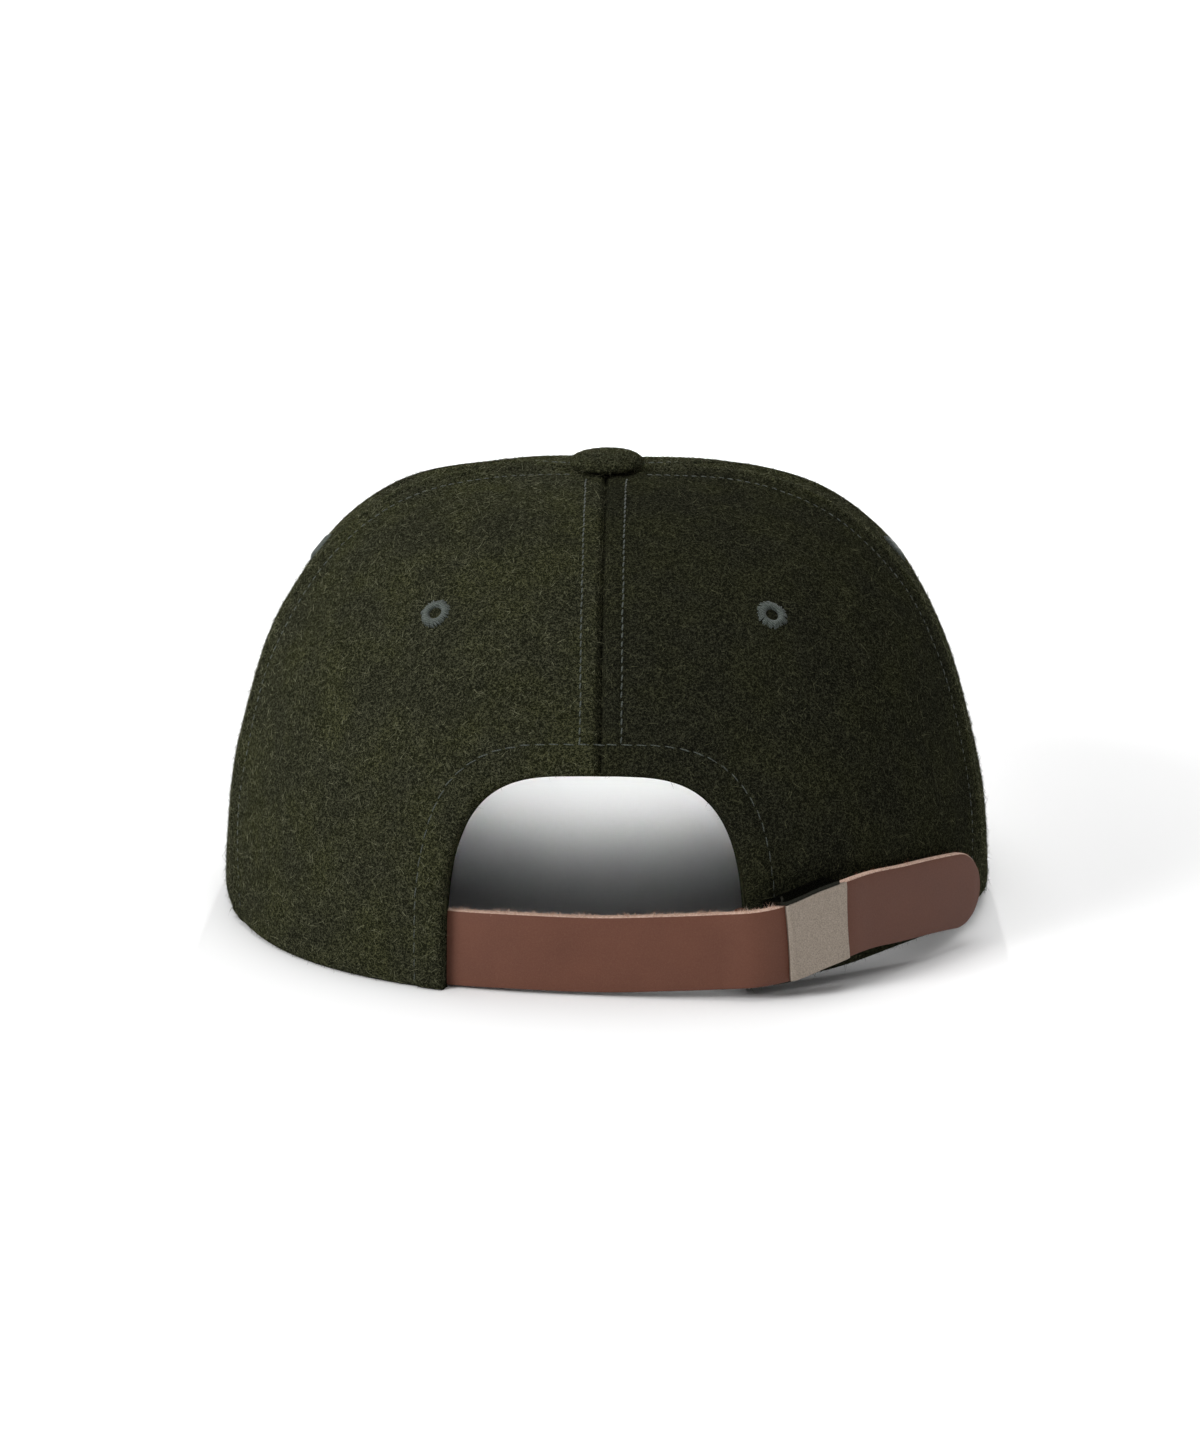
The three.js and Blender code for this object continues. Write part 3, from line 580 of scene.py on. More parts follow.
def far_seam(climb):
    """The left fore seam, counted on from the right one round the front."""
    return 360 - seam_azimuth(SEAMS["fore"], climb)


climbs = crowded(120, 1.5)
shares = crowded(90)
panels = {
    "back_panel_right": back_panel_grid(1, 130, 72, 66),
    "back_panel_left": back_panel_grid(-1, 130, 72, 66),
    "side_panel_right": panel_grid(seam_line("rear", 1), seam_line("fore", 1), climbs, shares),
    "side_panel_left": panel_grid(seam_line("fore", -1), seam_line("rear", -1), climbs, shares),
    "front_panel": panel_grid(seam_line("fore", 1), far_seam, climbs, crowded(170)),
}
faces_of = {}
for name, (azimuth, climb) in panels.items():
    outer, inner = panel_layers(azimuth, climb)
    points, quads = shell(outer, inner)
    panel = link_mesh(name + "_felt", place(points), [quads], [FELTS.get(name, felt)])
    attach(panel, "root")
    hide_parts(name)
    faces_of[name] = outer


# Nap. Loose ends of wool that stand off the felt: short ones all over it and longer stray hairs
# between them. A real fibre is 0.03 mm thick; these are drawn up to 0.12 mm so that they show.
HAIR_ROOT = 0.12
SHADE_POWER = 2.2
CROWN_CORE = (0, 0, 40)


def nap_material(name, deep, pale):
    """Single wool fibres, from dark to pale by the number that each carries."""
    material, tree, output = new_material(name)
    number = add(tree, "Attribute", attribute_name="shade")
    tint = add(tree, "MixRGB", {"Fac": number.outputs["Fac"], "Color1": linear(deep),
                                "Color2": linear(pale)})
    shader = add(tree, "BsdfPrincipled", {"Base Color": tint.outputs["Color"], "Roughness": 1,
                                          "Specular IOR Level": 0})
    tree.links.new(shader.outputs["BSDF"], output.inputs["Surface"])
    return material


def grid_normals(points):
    """Unit normals of a grid of points: the cross products of its two directions."""
    return unit(np.cross(np.gradient(points, axis=1), np.gradient(points, axis=0)))


def scatter(points, count, rng):
    """Random places on a grid, as many on each part as its area asks, with their normals."""
    a, b = points[:-1, :-1], points[1:, 1:]
    c, d = points[1:, :-1], points[:-1, 1:]
    area = np.linalg.norm(np.cross(b - a, d - c), axis=-1).ravel()
    cell = np.searchsorted(np.cumsum(area) / area.sum(), rng.random(count))
    row, column = np.divmod(np.minimum(cell, area.size - 1), points.shape[1] - 1)
    s, t = rng.random((2, count, 1))
    normals = grid_normals(points)

    def mixed(grid):
        """Values of a grid inside the chosen cells, mixed from their corners."""
        low = lerp(grid[row, column], grid[row, column + 1], s)
        high = lerp(grid[row + 1, column], grid[row + 1, column + 1], s)
        return lerp(low, high, t)

    return mixed(points), unit(mixed(normals))


def hairs(name, roots, normals, lengths, widths, lean, rings, bend, rng, material):
    """Closed three-sided hairs that taper from their root to a point. Each leans out from the
    cloth in its own direction, by lean in degrees, and bends along an arc."""
    count = len(roots)
    spread = unit(np.cross(normals, unit(rng.normal(size=(count, 3)))))
    tilt = np.radians(rng.uniform(*lean, count))[:, None]
    way = spread * np.cos(tilt) + normals * np.sin(tilt)
    side = unit(np.cross(way, normals + 1e-4))
    third = np.cross(way, side)
    curl = rng.uniform(-bend, bend, (count, 1))
    lift = rng.uniform(-0.35 * bend, bend * 0.6, (count, 1))
    turns = np.radians([0, 120, 240])
    layers = []
    for ring in range(rings):
        along = ring / rings
        middle = roots - normals * HAIR_ROOT + way * (lengths * along)[:, None]
        middle = middle + (side * curl + third * lift) * (lengths[:, None] * along * along)
        thick = (widths * (1 - 0.75 * along))[:, None]
        layers += [middle + (side * math.cos(a) + third * math.sin(a)) * thick for a in turns]
    tip = roots - normals * HAIR_ROOT + way * lengths[:, None]
    tip = tip + (side * curl + third * lift) * lengths[:, None]
    points = np.stack([*layers, tip], 1)
    points[..., 2] = np.maximum(points[..., 2], 0)
    per = 3 * rings + 1
    start = np.arange(count)[:, None, None] * per
    sides = [[3 * r + i, 3 * r + (i + 1) % 3, 3 * r + 3 + (i + 1) % 3, 3 * r + 3 + i]
             for r in range(rings - 1) for i in range(3)]
    last = 3 * (rings - 1)
    ends = [[last, last + 1, per - 1], [last + 1, last + 2, per - 1], [last + 2, last, per - 1],
            [0, 2, 1]]
    faces = [(start + np.array(ends)).reshape(-1, 3)]
    if sides:
        faces.append((start + np.array(sides)).reshape(-1, 4))
    made = link_mesh(name, place(points.reshape(-1, 3)), faces, [material], smooth=False)
    shade = made.data.attributes.new("shade", "FLOAT", "POINT")
    shades = rng.random(count) ** SHADE_POWER
    shade.data.foreach_set("value", np.repeat(shades, per).astype(np.float32))
    return made


wool_fibre = nap_material("loose_wool_fibre", "#191A10", "#8A8B70")
# Darker fibres for the right back panel: painted shade for its nap, laid the other way.
nap_shaded_fibre = nap_material("loose_wool_fibre_painted_nap_shade", "#11120B", "#66674F")
NAP = {
    "back_panel_right": {"short": 26000, "curled": 11000},
    "back_panel_left": {"short": 26000, "curled": 11000},
    "side_panel_right": {"short": 12000, "curled": 5000},
    "side_panel_left": {"short": 12000, "curled": 5000},
    "front_panel": {"short": 20000, "curled": 7000},
}
for index, (name, nap) in enumerate(NAP.items()):
    rng = np.random.default_rng(10 + index)
    # The right back panel takes the darker fibres, which are painted shade.
    fibre = nap_shaded_fibre if name in FELTS else wool_fibre
    count, few = nap["short"], nap["curled"]
    roots, normals = scatter(faces_of[name], count, rng)
    out = np.sign(np.einsum("ij,ij->i", normals, roots - CROWN_CORE).mean())
    short = hairs("nap_" + name, roots, normals * out,
                  0.35 + rng.exponential(0.42, count).clip(0, 1.6),
                  rng.uniform(0.03, 0.06, count), (4, 38), 1, 0, rng, fibre)
    roots, normals = scatter(faces_of[name], few, rng)
    curled = hairs("curled_hairs_" + name, roots, normals * out,
                   0.9 + rng.exponential(0.8, few).clip(0, 2.6), rng.uniform(0.035, 0.06, few),
                   (2, 26), 3, 0.7, rng, fibre)
    for piece in (short, curled):
        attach(piece, "root")


# Topstitching. Grey-green thread: two rows beside the middle seam, one on the back panel beside
# each rear seam, one on the front panel beside each fore seam, and one along the arch's hem.
def thread_material(name, deep, pale):
    """Spun polyester thread: a soft satin with finely twisted strands."""
    material, tree, output = new_material(name)
    where = add(tree, "TexCoord").outputs["Object"]
    strands = add(tree, "TexWave", {"Vector": where, "Scale": 1 / (1.1 * MM), "Distortion": 6,
                                    "Detail": 2}, bands_direction="DIAGONAL")
    tint = add(tree, "MixRGB", {"Fac": strands.outputs["Fac"], "Color1": linear(deep),
                                "Color2": linear(pale)})
    bump = add(tree, "Bump", {"Height": strands.outputs["Fac"], "Strength": 0.4,
                              "Distance": 0.08 * MM})
    shader = add(tree, "BsdfPrincipled", {"Base Color": tint.outputs["Color"], "Roughness": 0.55,
                                          "Specular IOR Level": 0.35, "Sheen Weight": 0.1,
                                          "Normal": bump.outputs["Normal"]})
    tree.links.new(shader.outputs["BSDF"], output.inputs["Surface"])
    return material


thread = thread_material("grey_green_thread", "#272C28", "#50574F")
THREAD_RADIUS = 0.19
STITCH_PITCH = 2.1
STITCH_SLANT = 0.2
HEM_PITCH = 3.3
ROW_START = 0.02
ROW_END = 0.98


def tubes(centres, radii, side, out, sides=6):
    """Closed tubes: centres is tube by ring by 3, radii tube by ring, and side and out are the
    directions across each ring. A ring is a circle in those two directions."""
    tube_count, rings = radii.shape
    turns = np.arange(sides) * 2 * np.pi / sides
    circle = (side[:, :, None] * np.cos(turns)[:, None] + out[:, :, None] * np.sin(turns)[:, None])
    points = centres[:, :, None] + circle * radii[:, :, None, None]
    start = np.arange(tube_count)[:, None, None] * rings * sides
    quads = np.array([[r * sides + i, r * sides + (i + 1) % sides,
                       (r + 1) * sides + (i + 1) % sides, (r + 1) * sides + i]
                      for r in range(rings - 1) for i in range(sides)])
    last = (rings - 1) * sides
    caps = np.array([[0, i + 1, i] for i in range(1, sides - 1)]
                    + [[last, last + i, last + i + 1] for i in range(1, sides - 1)])
    return points.reshape(-1, 3), (start + quads).reshape(-1, 4), (start + caps).reshape(-1, 3)


def stitch_row(path, normals, pitch, rng, radius=THREAD_RADIUS, fill=0.9, sink=0.0):
    """Points and faces of one row of stitches: each is a short thread that comes out of the
    cloth, lies on it at a slight slant, and dives in again. Fill is the share of the pitch that
    shows, and sink is how deep the row lies in the nap."""
    length = np.append(0, np.cumsum(np.linalg.norm(np.diff(path, axis=0), axis=1)))
    count = int(length[-1] / pitch)
    share = np.linspace(0, 1, 7)
    begin = (np.arange(count) + rng.uniform(0.02, 0.12, count))[:, None] * pitch
    at = begin + share * pitch * fill * rng.uniform(0.9, 1.05, (count, 1))
    centres = np.stack([np.interp(at, length, path[:, i]) for i in range(3)], -1)
    out = unit(np.stack([np.interp(at, length, normals[:, i]) for i in range(3)], -1))
    along = unit(np.gradient(centres, axis=1))
    side = np.cross(along, out)
    arch = np.sin(np.pi * share) ** 0.5
    centres = centres + out * (arch * radius * 1.25 - radius * 0.75 - sink)[None, :, None]
    drift = rng.normal(0, 0.05, (count, 1)) + STITCH_SLANT * (share - 0.5)
    centres = centres + side * drift[..., None]
    radii = radius * (0.45 + 0.55 * arch) * rng.uniform(0.85, 1.1, (count, 1))
    return tubes(centres, radii, side, out)


def join_parts(parts):
    """One mesh's points and faces from several lists of points, quads and triangles."""
    points, quads, triangles, start = [], [], [], 0
    for part_points, part_quads, part_triangles in parts:
        points.append(part_points)
        quads.append(part_quads + start)
        triangles.append(part_triangles + start)
        start += len(part_points)
    return np.concatenate(points), [np.concatenate(quads), np.concatenate(triangles)]


def crown_line(azimuth, climb):
    """Points on the cloth's outside and their normals, along a line of azimuths and climbs."""
    normal = crown_normal(azimuth, climb)
    return crown_base(azimuth, climb) + normal * crown_relief(azimuth, climb)[:, None], normal


def beside_seam(name, sign, offset, low):
    """Line that keeps its distance from a seam; a positive offset lies towards the front."""
    climb = np.linspace(low, ROW_END, 160)
    middle = seam_azimuth(SEAMS[name], climb)
    reach = apex_reach(crown_base(sign * middle, climb))
    return crown_line(sign * (middle + np.degrees(np.arcsin(offset / reach))), climb)


rng = np.random.default_rng(40)
arch_top = float(climb_at(np.array(0.0), np.array(ARCH_HEIGHT + HEM_WIDTH)))
SEAM_ROWS = {
    "back": {"offset": SEAM_STITCH, "start": arch_top, "radius": THREAD_RADIUS, "sink": 0},
    "rear": {"offset": -SEAM_STITCH, "start": ROW_START, "radius": 0.16, "sink": 0.09},
    "fore": {"offset": SEAM_STITCH, "start": ROW_START, "radius": 0.16, "sink": 0.05},
}
stitch_rows = []
for name, row in SEAM_ROWS.items():
    for side in (1, -1):
        line = beside_seam(name, side, row["offset"], row["start"])
        stitch_rows.append(stitch_row(*line, STITCH_PITCH, rng, row["radius"], sink=row["sink"]))


def hem_line():
    """Line outside the arch's edge by the hem's width, from the left rim to the right rim."""
    slant = np.linspace(-np.pi / 2, np.pi / 2, 600)
    across, up = np.sin(slant), np.cos(slant)
    power = 2 / ARCH_POWER
    x = ARCH_CENTRE + (ARCH_HALF_WIDTH + HEM_WIDTH) * np.sign(across) * np.abs(across) ** power
    z = (ARCH_HEIGHT + HEM_WIDTH) * up ** power
    return crown_line(*behind_view(x, z, 1))


stitch_rows.append(stitch_row(*hem_line(), HEM_PITCH, rng, radius=0.14, fill=0.86))
points, faces = join_parts(stitch_rows)
topstitching = link_mesh("topstitching", place(points), faces, [thread])
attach(topstitching, "root")


# Eyelets. Each is a ring of satin stitches over a hole punched in the panel: thread laid side by
# side from the hole outward, uneven at its outer ends. The same ring shows on the inside.
EYELET_HEIGHT = 80
EYELET_HOLE = 1.5
EYELET_REACH = 4
EYELET_RISE = 0.85
EYELET_ROOT = 0.25
EYELETS = {"eyelet_back_left": -33.4, "eyelet_back_right": 33.4,
           "eyelet_side_left": -96, "eyelet_side_right": 96}
EYELET_STITCHES = 52


def satin_ring(middle, normal, face, rng):
    """Radial stitches round a hole: each leaves the hole, arches over the cloth and dives in."""
    first = unit(np.cross(normal, [0.13, 0.21, 1.0]))
    second = np.cross(normal, first)
    turn = (np.arange(EYELET_STITCHES) + rng.uniform(-0.25, 0.25, EYELET_STITCHES))
    turn = turn[:, None] * 2 * np.pi / EYELET_STITCHES
    share = np.linspace(0, 1, 9)
    reach = EYELET_REACH * rng.uniform(0.84, 1.0, (EYELET_STITCHES, 1))
    swirl = turn + (share - 0.5) * 0.16
    away = lerp(EYELET_HOLE, reach, share ** 1.1)
    rise = face * (EYELET_RISE * np.sin(np.pi * share ** 0.8) ** 0.8 - EYELET_ROOT)
    way = np.cos(swirl)[..., None] * first + np.sin(swirl)[..., None] * second
    centres = middle + way * away[..., None] + normal * rise[..., None]
    along = unit(np.gradient(centres, axis=1))
    side = unit(np.cross(along, np.broadcast_to(normal, along.shape)))
    out = np.cross(side, along)
    radii = np.broadcast_to(THREAD_RADIUS * np.sin(np.pi * (0.12 + 0.76 * share)) ** 0.4,
                            (EYELET_STITCHES, len(share)))
    return tubes(centres, radii, side, out, 5)


eyelet_thread = thread_material("grey_green_eyelet_thread", "#282E2A", "#565E58")
for index, (name, azimuth) in enumerate(EYELETS.items()):
    rng = np.random.default_rng(60 + index)
    where = np.array([float(azimuth)])
    climb = climb_at(where, np.array([float(EYELET_HEIGHT)]))
    (middle,), (normal,) = crown_line(where, climb)
    rings = [satin_ring(middle, normal, 1, rng),
             satin_ring(middle - normal * (WOOL + 0.35), normal, -1, rng)]
    points, faces = join_parts(rings)
    eyelet = link_mesh(name + "_stitches", place(points), faces, [eyelet_thread])
    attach(eyelet, "root")
    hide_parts(name)


# Button. A shallow metal shell covered with the same felt, pulled tight over its rim, with its
# post through the crown's top and a washer under it.
BUTTON_RADIUS = 8.75
BUTTON_HEIGHT = 4.2
BUTTON_SEAT = 0.45
BUTTON_SIDES = 120
BUTTON_DOME_RINGS = 10
BUTTON_NAP = 2600
BUTTON_PROFILE = [
    (0.0, 1.0), (0.2, 0.995), (0.4, 0.965), (0.58, 0.91), (0.74, 0.82), (0.86, 0.7),
    (0.94, 0.57), (0.985, 0.44), (1.0, 0.31), (0.985, 0.19), (0.93, 0.09), (0.84, 0.02),
    (0.7, 0.0), (0.5, 0.0), (0.14, 0.0), (0.13, -0.3), (0.13, -0.68), (0.5, -0.7), (0.51, -0.86),
    (0.3, -0.88), (0.0, -0.88)]


def turned_body(profile, sides, middle, waves):
    """Body turned round an upright axis: rings of radii and heights, closed at both poles. Waves
    gives what is added to the radius and to the height round each ring."""
    turn = np.arange(sides) * 2 * np.pi / sides
    rings = np.array(profile[1:-1])
    radius, height = rings[:, :1], rings[:, 1:]
    wider, higher = waves(turn, radius, height)
    radius, height = radius + wider, height + higher
    grid = np.stack(np.broadcast_arrays(radius * np.cos(turn), radius * np.sin(turn), height), -1)
    poles = [[[0, 0, end[1]]] for end in (profile[0], profile[-1])]
    points = np.concatenate([poles[0], grid.reshape(-1, 3), poles[1]])
    step = np.arange(sides)
    after = (step + 1) % sides
    quads = np.concatenate([np.stack([1 + r * sides + step, 1 + (r + 1) * sides + step,
                                      1 + (r + 1) * sides + after, 1 + r * sides + after], -1)
                            for r in range(len(rings) - 1)])
    last = 1 + (len(rings) - 1) * sides
    end = len(points) - 1
    caps = np.concatenate([np.stack([np.zeros(sides, int), 1 + step, 1 + after], -1),
                           np.stack([np.full(sides, end), last + after, last + step], -1)])
    return points + middle, [quads, caps], grid + middle


def button_waves(turn, radius, height):
    """Cloth pulled over the rim: soft tucks under its edge, and a top that isn't quite even."""
    tuck = np.clip((radius - 6) / 3, 0, 1) * np.clip(1.4 - height / 2, 0, 1)
    return (0.12 * tuck * np.sin(11 * turn + 0.7),
            0.1 * np.sin(2 * turn + 1) * radius / BUTTON_RADIUS * (height > 0))


profile = [(r * BUTTON_RADIUS, BUTTON_SEAT + h * BUTTON_HEIGHT) for r, h in BUTTON_PROFILE]
apex = np.array([0, -APEX_BACK, HEIGHT])
points, faces, grid = turned_body(profile, BUTTON_SIDES, apex, button_waves)
button = link_mesh("top_button_felt", place(points), faces, [felt])
rng = np.random.default_rng(70)
dome = np.concatenate([grid[:BUTTON_DOME_RINGS], grid[:BUTTON_DOME_RINGS, :1]], 1)
roots, normals = scatter(dome, BUTTON_NAP, rng)
normals = normals * np.sign(normals[:, 2].mean())
button_nap = hairs("nap_top_button", roots, normals,
                   0.3 + rng.exponential(0.35, BUTTON_NAP).clip(0, 1.2),
                   rng.uniform(0.025, 0.05, BUTTON_NAP), (4, 38), 1, 0, rng, wool_fibre)
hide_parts("top_button")
for piece in (button, button_nap):
    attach(piece, "root")


# Brim. A stiff curved board covered with the same felt on both sides, folded round its edge and
# topstitched near it. It springs from under the front rim, and its side edges rest on the floor.
BRIM_LENGTH = 70
BRIM_DIP = 4
BRIM_SHOULDER = 18
BRIM_TAPER = 51
BRIM_POWER = 2.3
BRIM_GIRTH = 330
BRIM_STITCH = 6
BRIM_BARE_COLUMNS = 12
BRIM_NAP = 9000


def brim_surface(outward, share):
    """Top side of the brim: outward runs from the rim to its edge, share from right to left. Its
    plan is a superellipse in front of its widest line, and a shorter one behind it."""
    corner = -rim_plan(np.array(float(BRIM_CORNER)))[2] * math.cos(math.radians(BRIM_CORNER))
    widest = corner + BRIM_SHOULDER
    front = FRONT_REACH + BRIM_LENGTH - widest
    past = math.asin((BRIM_SHOULDER / BRIM_TAPER) ** (BRIM_POWER / 2))
    azimuth = lerp(BRIM_CORNER, 360 - BRIM_CORNER, share)
    climb = np.zeros(np.shape(azimuth))
    inner = crown_base(azimuth, climb) - crown_normal(azimuth, climb) * WOOL
    angle = (math.pi + 2 * past) * (share - 0.5)

    def root(value):
        """The superellipse's power of a sine or a cosine, with its sign kept."""
        return np.sign(value) * np.abs(value) ** (2 / BRIM_POWER)

    x = -BRIM_HALF_WIDTH * root(np.sin(angle))
    forward = root(np.cos(angle))
    y = widest + np.where(forward > 0, front, BRIM_TAPER) * forward
    x, y = lerp(inner[..., 0], x, outward), lerp(inner[..., 1], y, outward)
    dip = BRIM_DIP * outward ** 2 * (1 - (x / BRIM_HALF_WIDTH) ** 2)
    return np.stack([x, y, brim_top(x) - dip], -1)


outward = (1 - (1 - np.linspace(0, 1, 90)) ** 1.6)[:, None]
share = crowded(240, 1.25)[None, :]
outward, share = np.broadcast_arrays(outward, share)
top = brim_surface(outward, share)
edge_gap = (1 - outward) * BRIM_LENGTH
end_gap = np.minimum(share, 1 - share) * BRIM_GIRTH
inward = np.minimum(edge_gap, end_gap * 1.2)
round_off = rounded(inward, BRIM_THICKNESS / 2)
pulled = STITCH_PULL * np.exp(-((edge_gap - BRIM_STITCH) / 0.8) ** 2)
up = np.array([0, 0, 1])
upper = top - up * (round_off + pulled)[..., None]
lower = top - up * (BRIM_THICKNESS - round_off - pulled)[..., None]
points, quads = shell(upper, lower)
brim = link_mesh("brim_felt", place(points), [quads], [felt])
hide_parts("brim")
rng = np.random.default_rng(80)
brim_pieces = [brim]
for word, face, sign in (("top", upper, 1), ("under", lower, -1)):
    roots, normals = scatter(face[:, BRIM_BARE_COLUMNS:-BRIM_BARE_COLUMNS], BRIM_NAP, rng)
    normals = normals * np.sign(normals[:, 2].mean()) * sign
    brim_pieces.append(hairs("nap_brim_" + word, roots, normals,
                             0.35 + rng.exponential(0.4, BRIM_NAP).clip(0, 1.5),
                             rng.uniform(0.03, 0.06, BRIM_NAP), (4, 38), 1, 0, rng, wool_fibre))
for piece in brim_pieces:
    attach(piece, "root")

line = np.linspace(0.05, 0.95, 500)
level = np.full(500, 1 - BRIM_STITCH / BRIM_LENGTH)
path = brim_surface(level, line) - up * STITCH_PULL
ways = np.broadcast_to(up.astype(float), path.shape)
under_path = path - up * (BRIM_THICKNESS - 2 * STITCH_PULL)
points, faces = join_parts([stitch_row(path, ways, STITCH_PITCH, rng),
                            stitch_row(under_path, -ways, STITCH_PITCH, rng)])
brim_stitches = link_mesh("brim_topstitching", place(points), faces, [thread])
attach(brim_stitches, "root")


# Sweatband. A strip of dark green twill tape sewn inside the rim, with a row of stitches near
# its lower and its upper edge. It steps in where the strap and the keeper are sewn under it.
BAND_HEIGHT = 27
BAND_THICKNESS = 1.2
BAND_RAISE = 1
BAND_END = 25
BAND_STITCH = 2.5
BAND_PITCH = 2.4
BAND_STEPS = 900
WALL_GAP = 0.45
STRAP_THICKNESS = 2.2


def twill_material(name, deep, pale):
    """Cotton twill: diagonal ribs 0.7 mm apart, a little uneven, with no gloss."""
    material, tree, output = new_material(name)
    where = add(tree, "TexCoord").outputs["Object"]
    ribs = add(tree, "TexWave", {"Vector": where, "Scale": 0.314 / (0.7 * MM), "Distortion": 1.2,
                                 "Detail": 2, "Detail Scale": 3}, bands_direction="DIAGONAL")
    fluff = add(tree, "TexNoise", {"Vector": where, "Scale": 1 / (0.4 * MM), "Detail": 3})
    mixed = add(tree, "Math", {0: ribs.outputs["Fac"], 1: fluff.outputs["Fac"]},
                operation="MULTIPLY")
    tint = add(tree, "MixRGB", {"Fac": mixed.outputs["Value"], "Color1": linear(deep),
                                "Color2": linear(pale)})
    bump = add(tree, "Bump", {"Height": mixed.outputs["Value"], "Strength": 0.6,
                              "Distance": 0.15 * MM})
    shader = add(tree, "BsdfPrincipled", {"Base Color": tint.outputs["Color"], "Roughness": 0.9,
                                          "Specular IOR Level": 0.15, "Sheen Weight": 0.1,
                                          "Normal": bump.outputs["Normal"]})
    tree.links.new(shader.outputs["BSDF"], output.inputs["Surface"])
    return material


def crown_at(azimuth, height, depth):
    """Point beside the wall by its height and depth, past the ridges."""
    climb = climb_at(azimuth, height)
    point = crown_base(azimuth, climb) - crown_normal(azimuth, climb) * np.expand_dims(depth, -1)
    point[..., 2] = np.minimum(point[..., 2], height)
    return point


def band_point(upward, azimuth, thickness):
    """Sweatband's outer side, or its inner side one thickness further in."""
    turn = wrapped(azimuth)
    strap_room = (STRAP_THICKNESS + 2 * WALL_GAP) * ease(azimuth, 300, 314)
    keeper_room = (1 + WALL_GAP) * (1 - ease(azimuth, 34, 44))
    height = rim_height(turn) + BAND_RAISE + BAND_HEIGHT * upward
    return crown_at(turn, height, WOOL + WALL_GAP + strap_room + keeper_room + thickness)


upward, azimuth = np.meshgrid(crowded(26), lerp(BAND_END, 360 - BAND_END, crowded(420, 1.05)),
                              indexing="ij")
gap = np.minimum(upward, 1 - upward) * BAND_HEIGHT
fall = rounded(gap, BAND_THICKNESS / 2)
pulled = 0.15 * np.exp(-((gap - BAND_STITCH) / 0.6) ** 2)
points, quads = shell(band_point(upward, azimuth, fall),
                      band_point(upward, azimuth, BAND_THICKNESS - fall - pulled))
twill = twill_material("dark_green_twill", "#15170F", "#34362B")
sweatband = link_mesh("sweatband_twill", place(points), [quads], [twill])
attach(sweatband, "root")
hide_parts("sweatband")

rng = np.random.default_rng(90)
around = np.linspace(BAND_END + 2, 358 - BAND_END, BAND_STEPS)
stitch_rows = []
for share in (BAND_STITCH / BAND_HEIGHT, 1 - BAND_STITCH / BAND_HEIGHT):
    path = band_point(np.full(BAND_STEPS, share), around, BAND_THICKNESS - 0.1)
    stitch_rows.append(stitch_row(path, unit(np.array([0, 0, 20]) - path), BAND_PITCH, rng))
points, faces = join_parts(stitch_rows)
band_stitches = link_mesh("sweatband_stitches", place(points), faces, [thread])
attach(band_stitches, "root")


# Strap. One length of 2.2 mm brown leather, smooth on its face, with raw pale edges whose fibres
# stand up in small tufts. It comes out from inside the left back panel, crosses the opening,
# goes through the buckle and ends in a half round that lies on the right back panel.
# The route's rows: azimuth, how far the strap stands out from the wall in shares of STRAP_STAND,
# and the height of its middle line in shares of its width.
STRAP_WIDTH = 17.6
STRAP_STAND = 4.3
STRAP_CORNER = 0.45
BUCKLE_AZIMUTH = 24
STRAP_ROUTE = [
    (-41, -1.22, 0.54), (-31, -1.22, 0.54), (-22, -1.22, 0.54), (-11, -1.13, 0.56),
    (0, -0.86, 0.56), (9, -0.32, 0.6), (16, 0.32, 0.64), (20, 0.96, 0.68), (24, 1.04, 0.73),
    (28, 0.98, 0.83), (32, 1, 0.92), (37, 0.5, 0.93), (43, 0.15, 0.88), (50, 0.13, 0.83),
    (55, 0.33, 0.78), (60.5, 0.75, 0.7)]


def smooth_curve(knots, steps=60):
    """Centripetal Catmull-Rom curve through its knots, drawn on past both ends."""
    knots = np.vstack([2 * knots[0] - knots[1], knots, 2 * knots[-1] - knots[-2]])
    gaps = np.sqrt(np.linalg.norm(np.diff(knots, axis=0), axis=1))
    t = np.linspace(0, 1, steps, endpoint=False)[:, None]
    parts = []
    for i in range(1, len(knots) - 2):
        a, b, c, d = knots[i - 1:i + 3]
        before, here, after = gaps[i - 1:i + 2]
        start = ((b - a) / before - (c - a) / (before + here) + (c - b) / here) * here
        end = ((c - b) / here - (d - b) / (here + after) + (d - c) / after) * here
        parts.append(b + start * t + (3 * (c - b) - 2 * start - end) * t ** 2
                     + (2 * (b - c) + start + end) * t ** 3)
    return np.vstack([*parts, knots[-2:-1]])


route = np.array(STRAP_ROUTE, float)
knots = crown_at(route[:, 0], route[:, 2] * STRAP_WIDTH, -(route[:, 1] * STRAP_STAND
                                                           + STRAP_THICKNESS / 2))
strap_line = smooth_curve(knots)
strap_steps = np.append(0, np.cumsum(np.linalg.norm(np.diff(strap_line, axis=0), axis=1)))
strap_length = strap_steps[-1]
strap_tangents = unit(np.gradient(strap_line, strap_steps, axis=0))


def azimuth_of(points):
    """Azimuth of points round the crown's middle."""
    return np.degrees(np.arctan2(points[..., 0], -points[..., 1]))


def strap_frame(distance):
    """Middle of the strap at a distance along it, and its ways along, up and outward."""
    at = np.clip(distance, 0, strap_length)
    middle = np.stack([np.interp(at, strap_steps, strap_line[:, i]) for i in range(3)], -1)
    along = unit(np.stack([np.interp(at, strap_steps, strap_tangents[:, i])
                           for i in range(3)], -1))
    turn = azimuth_of(middle)
    quarter = STRAP_WIDTH / 4
    slope = unit(crown_at(turn, middle[..., 2] + quarter, np.zeros(turn.shape))
                 - crown_at(turn, middle[..., 2] - quarter, np.zeros(turn.shape)))
    upward = unit(slope - along * np.sum(slope * along, -1, keepdims=True))
    return middle, along, upward, np.cross(along, upward)


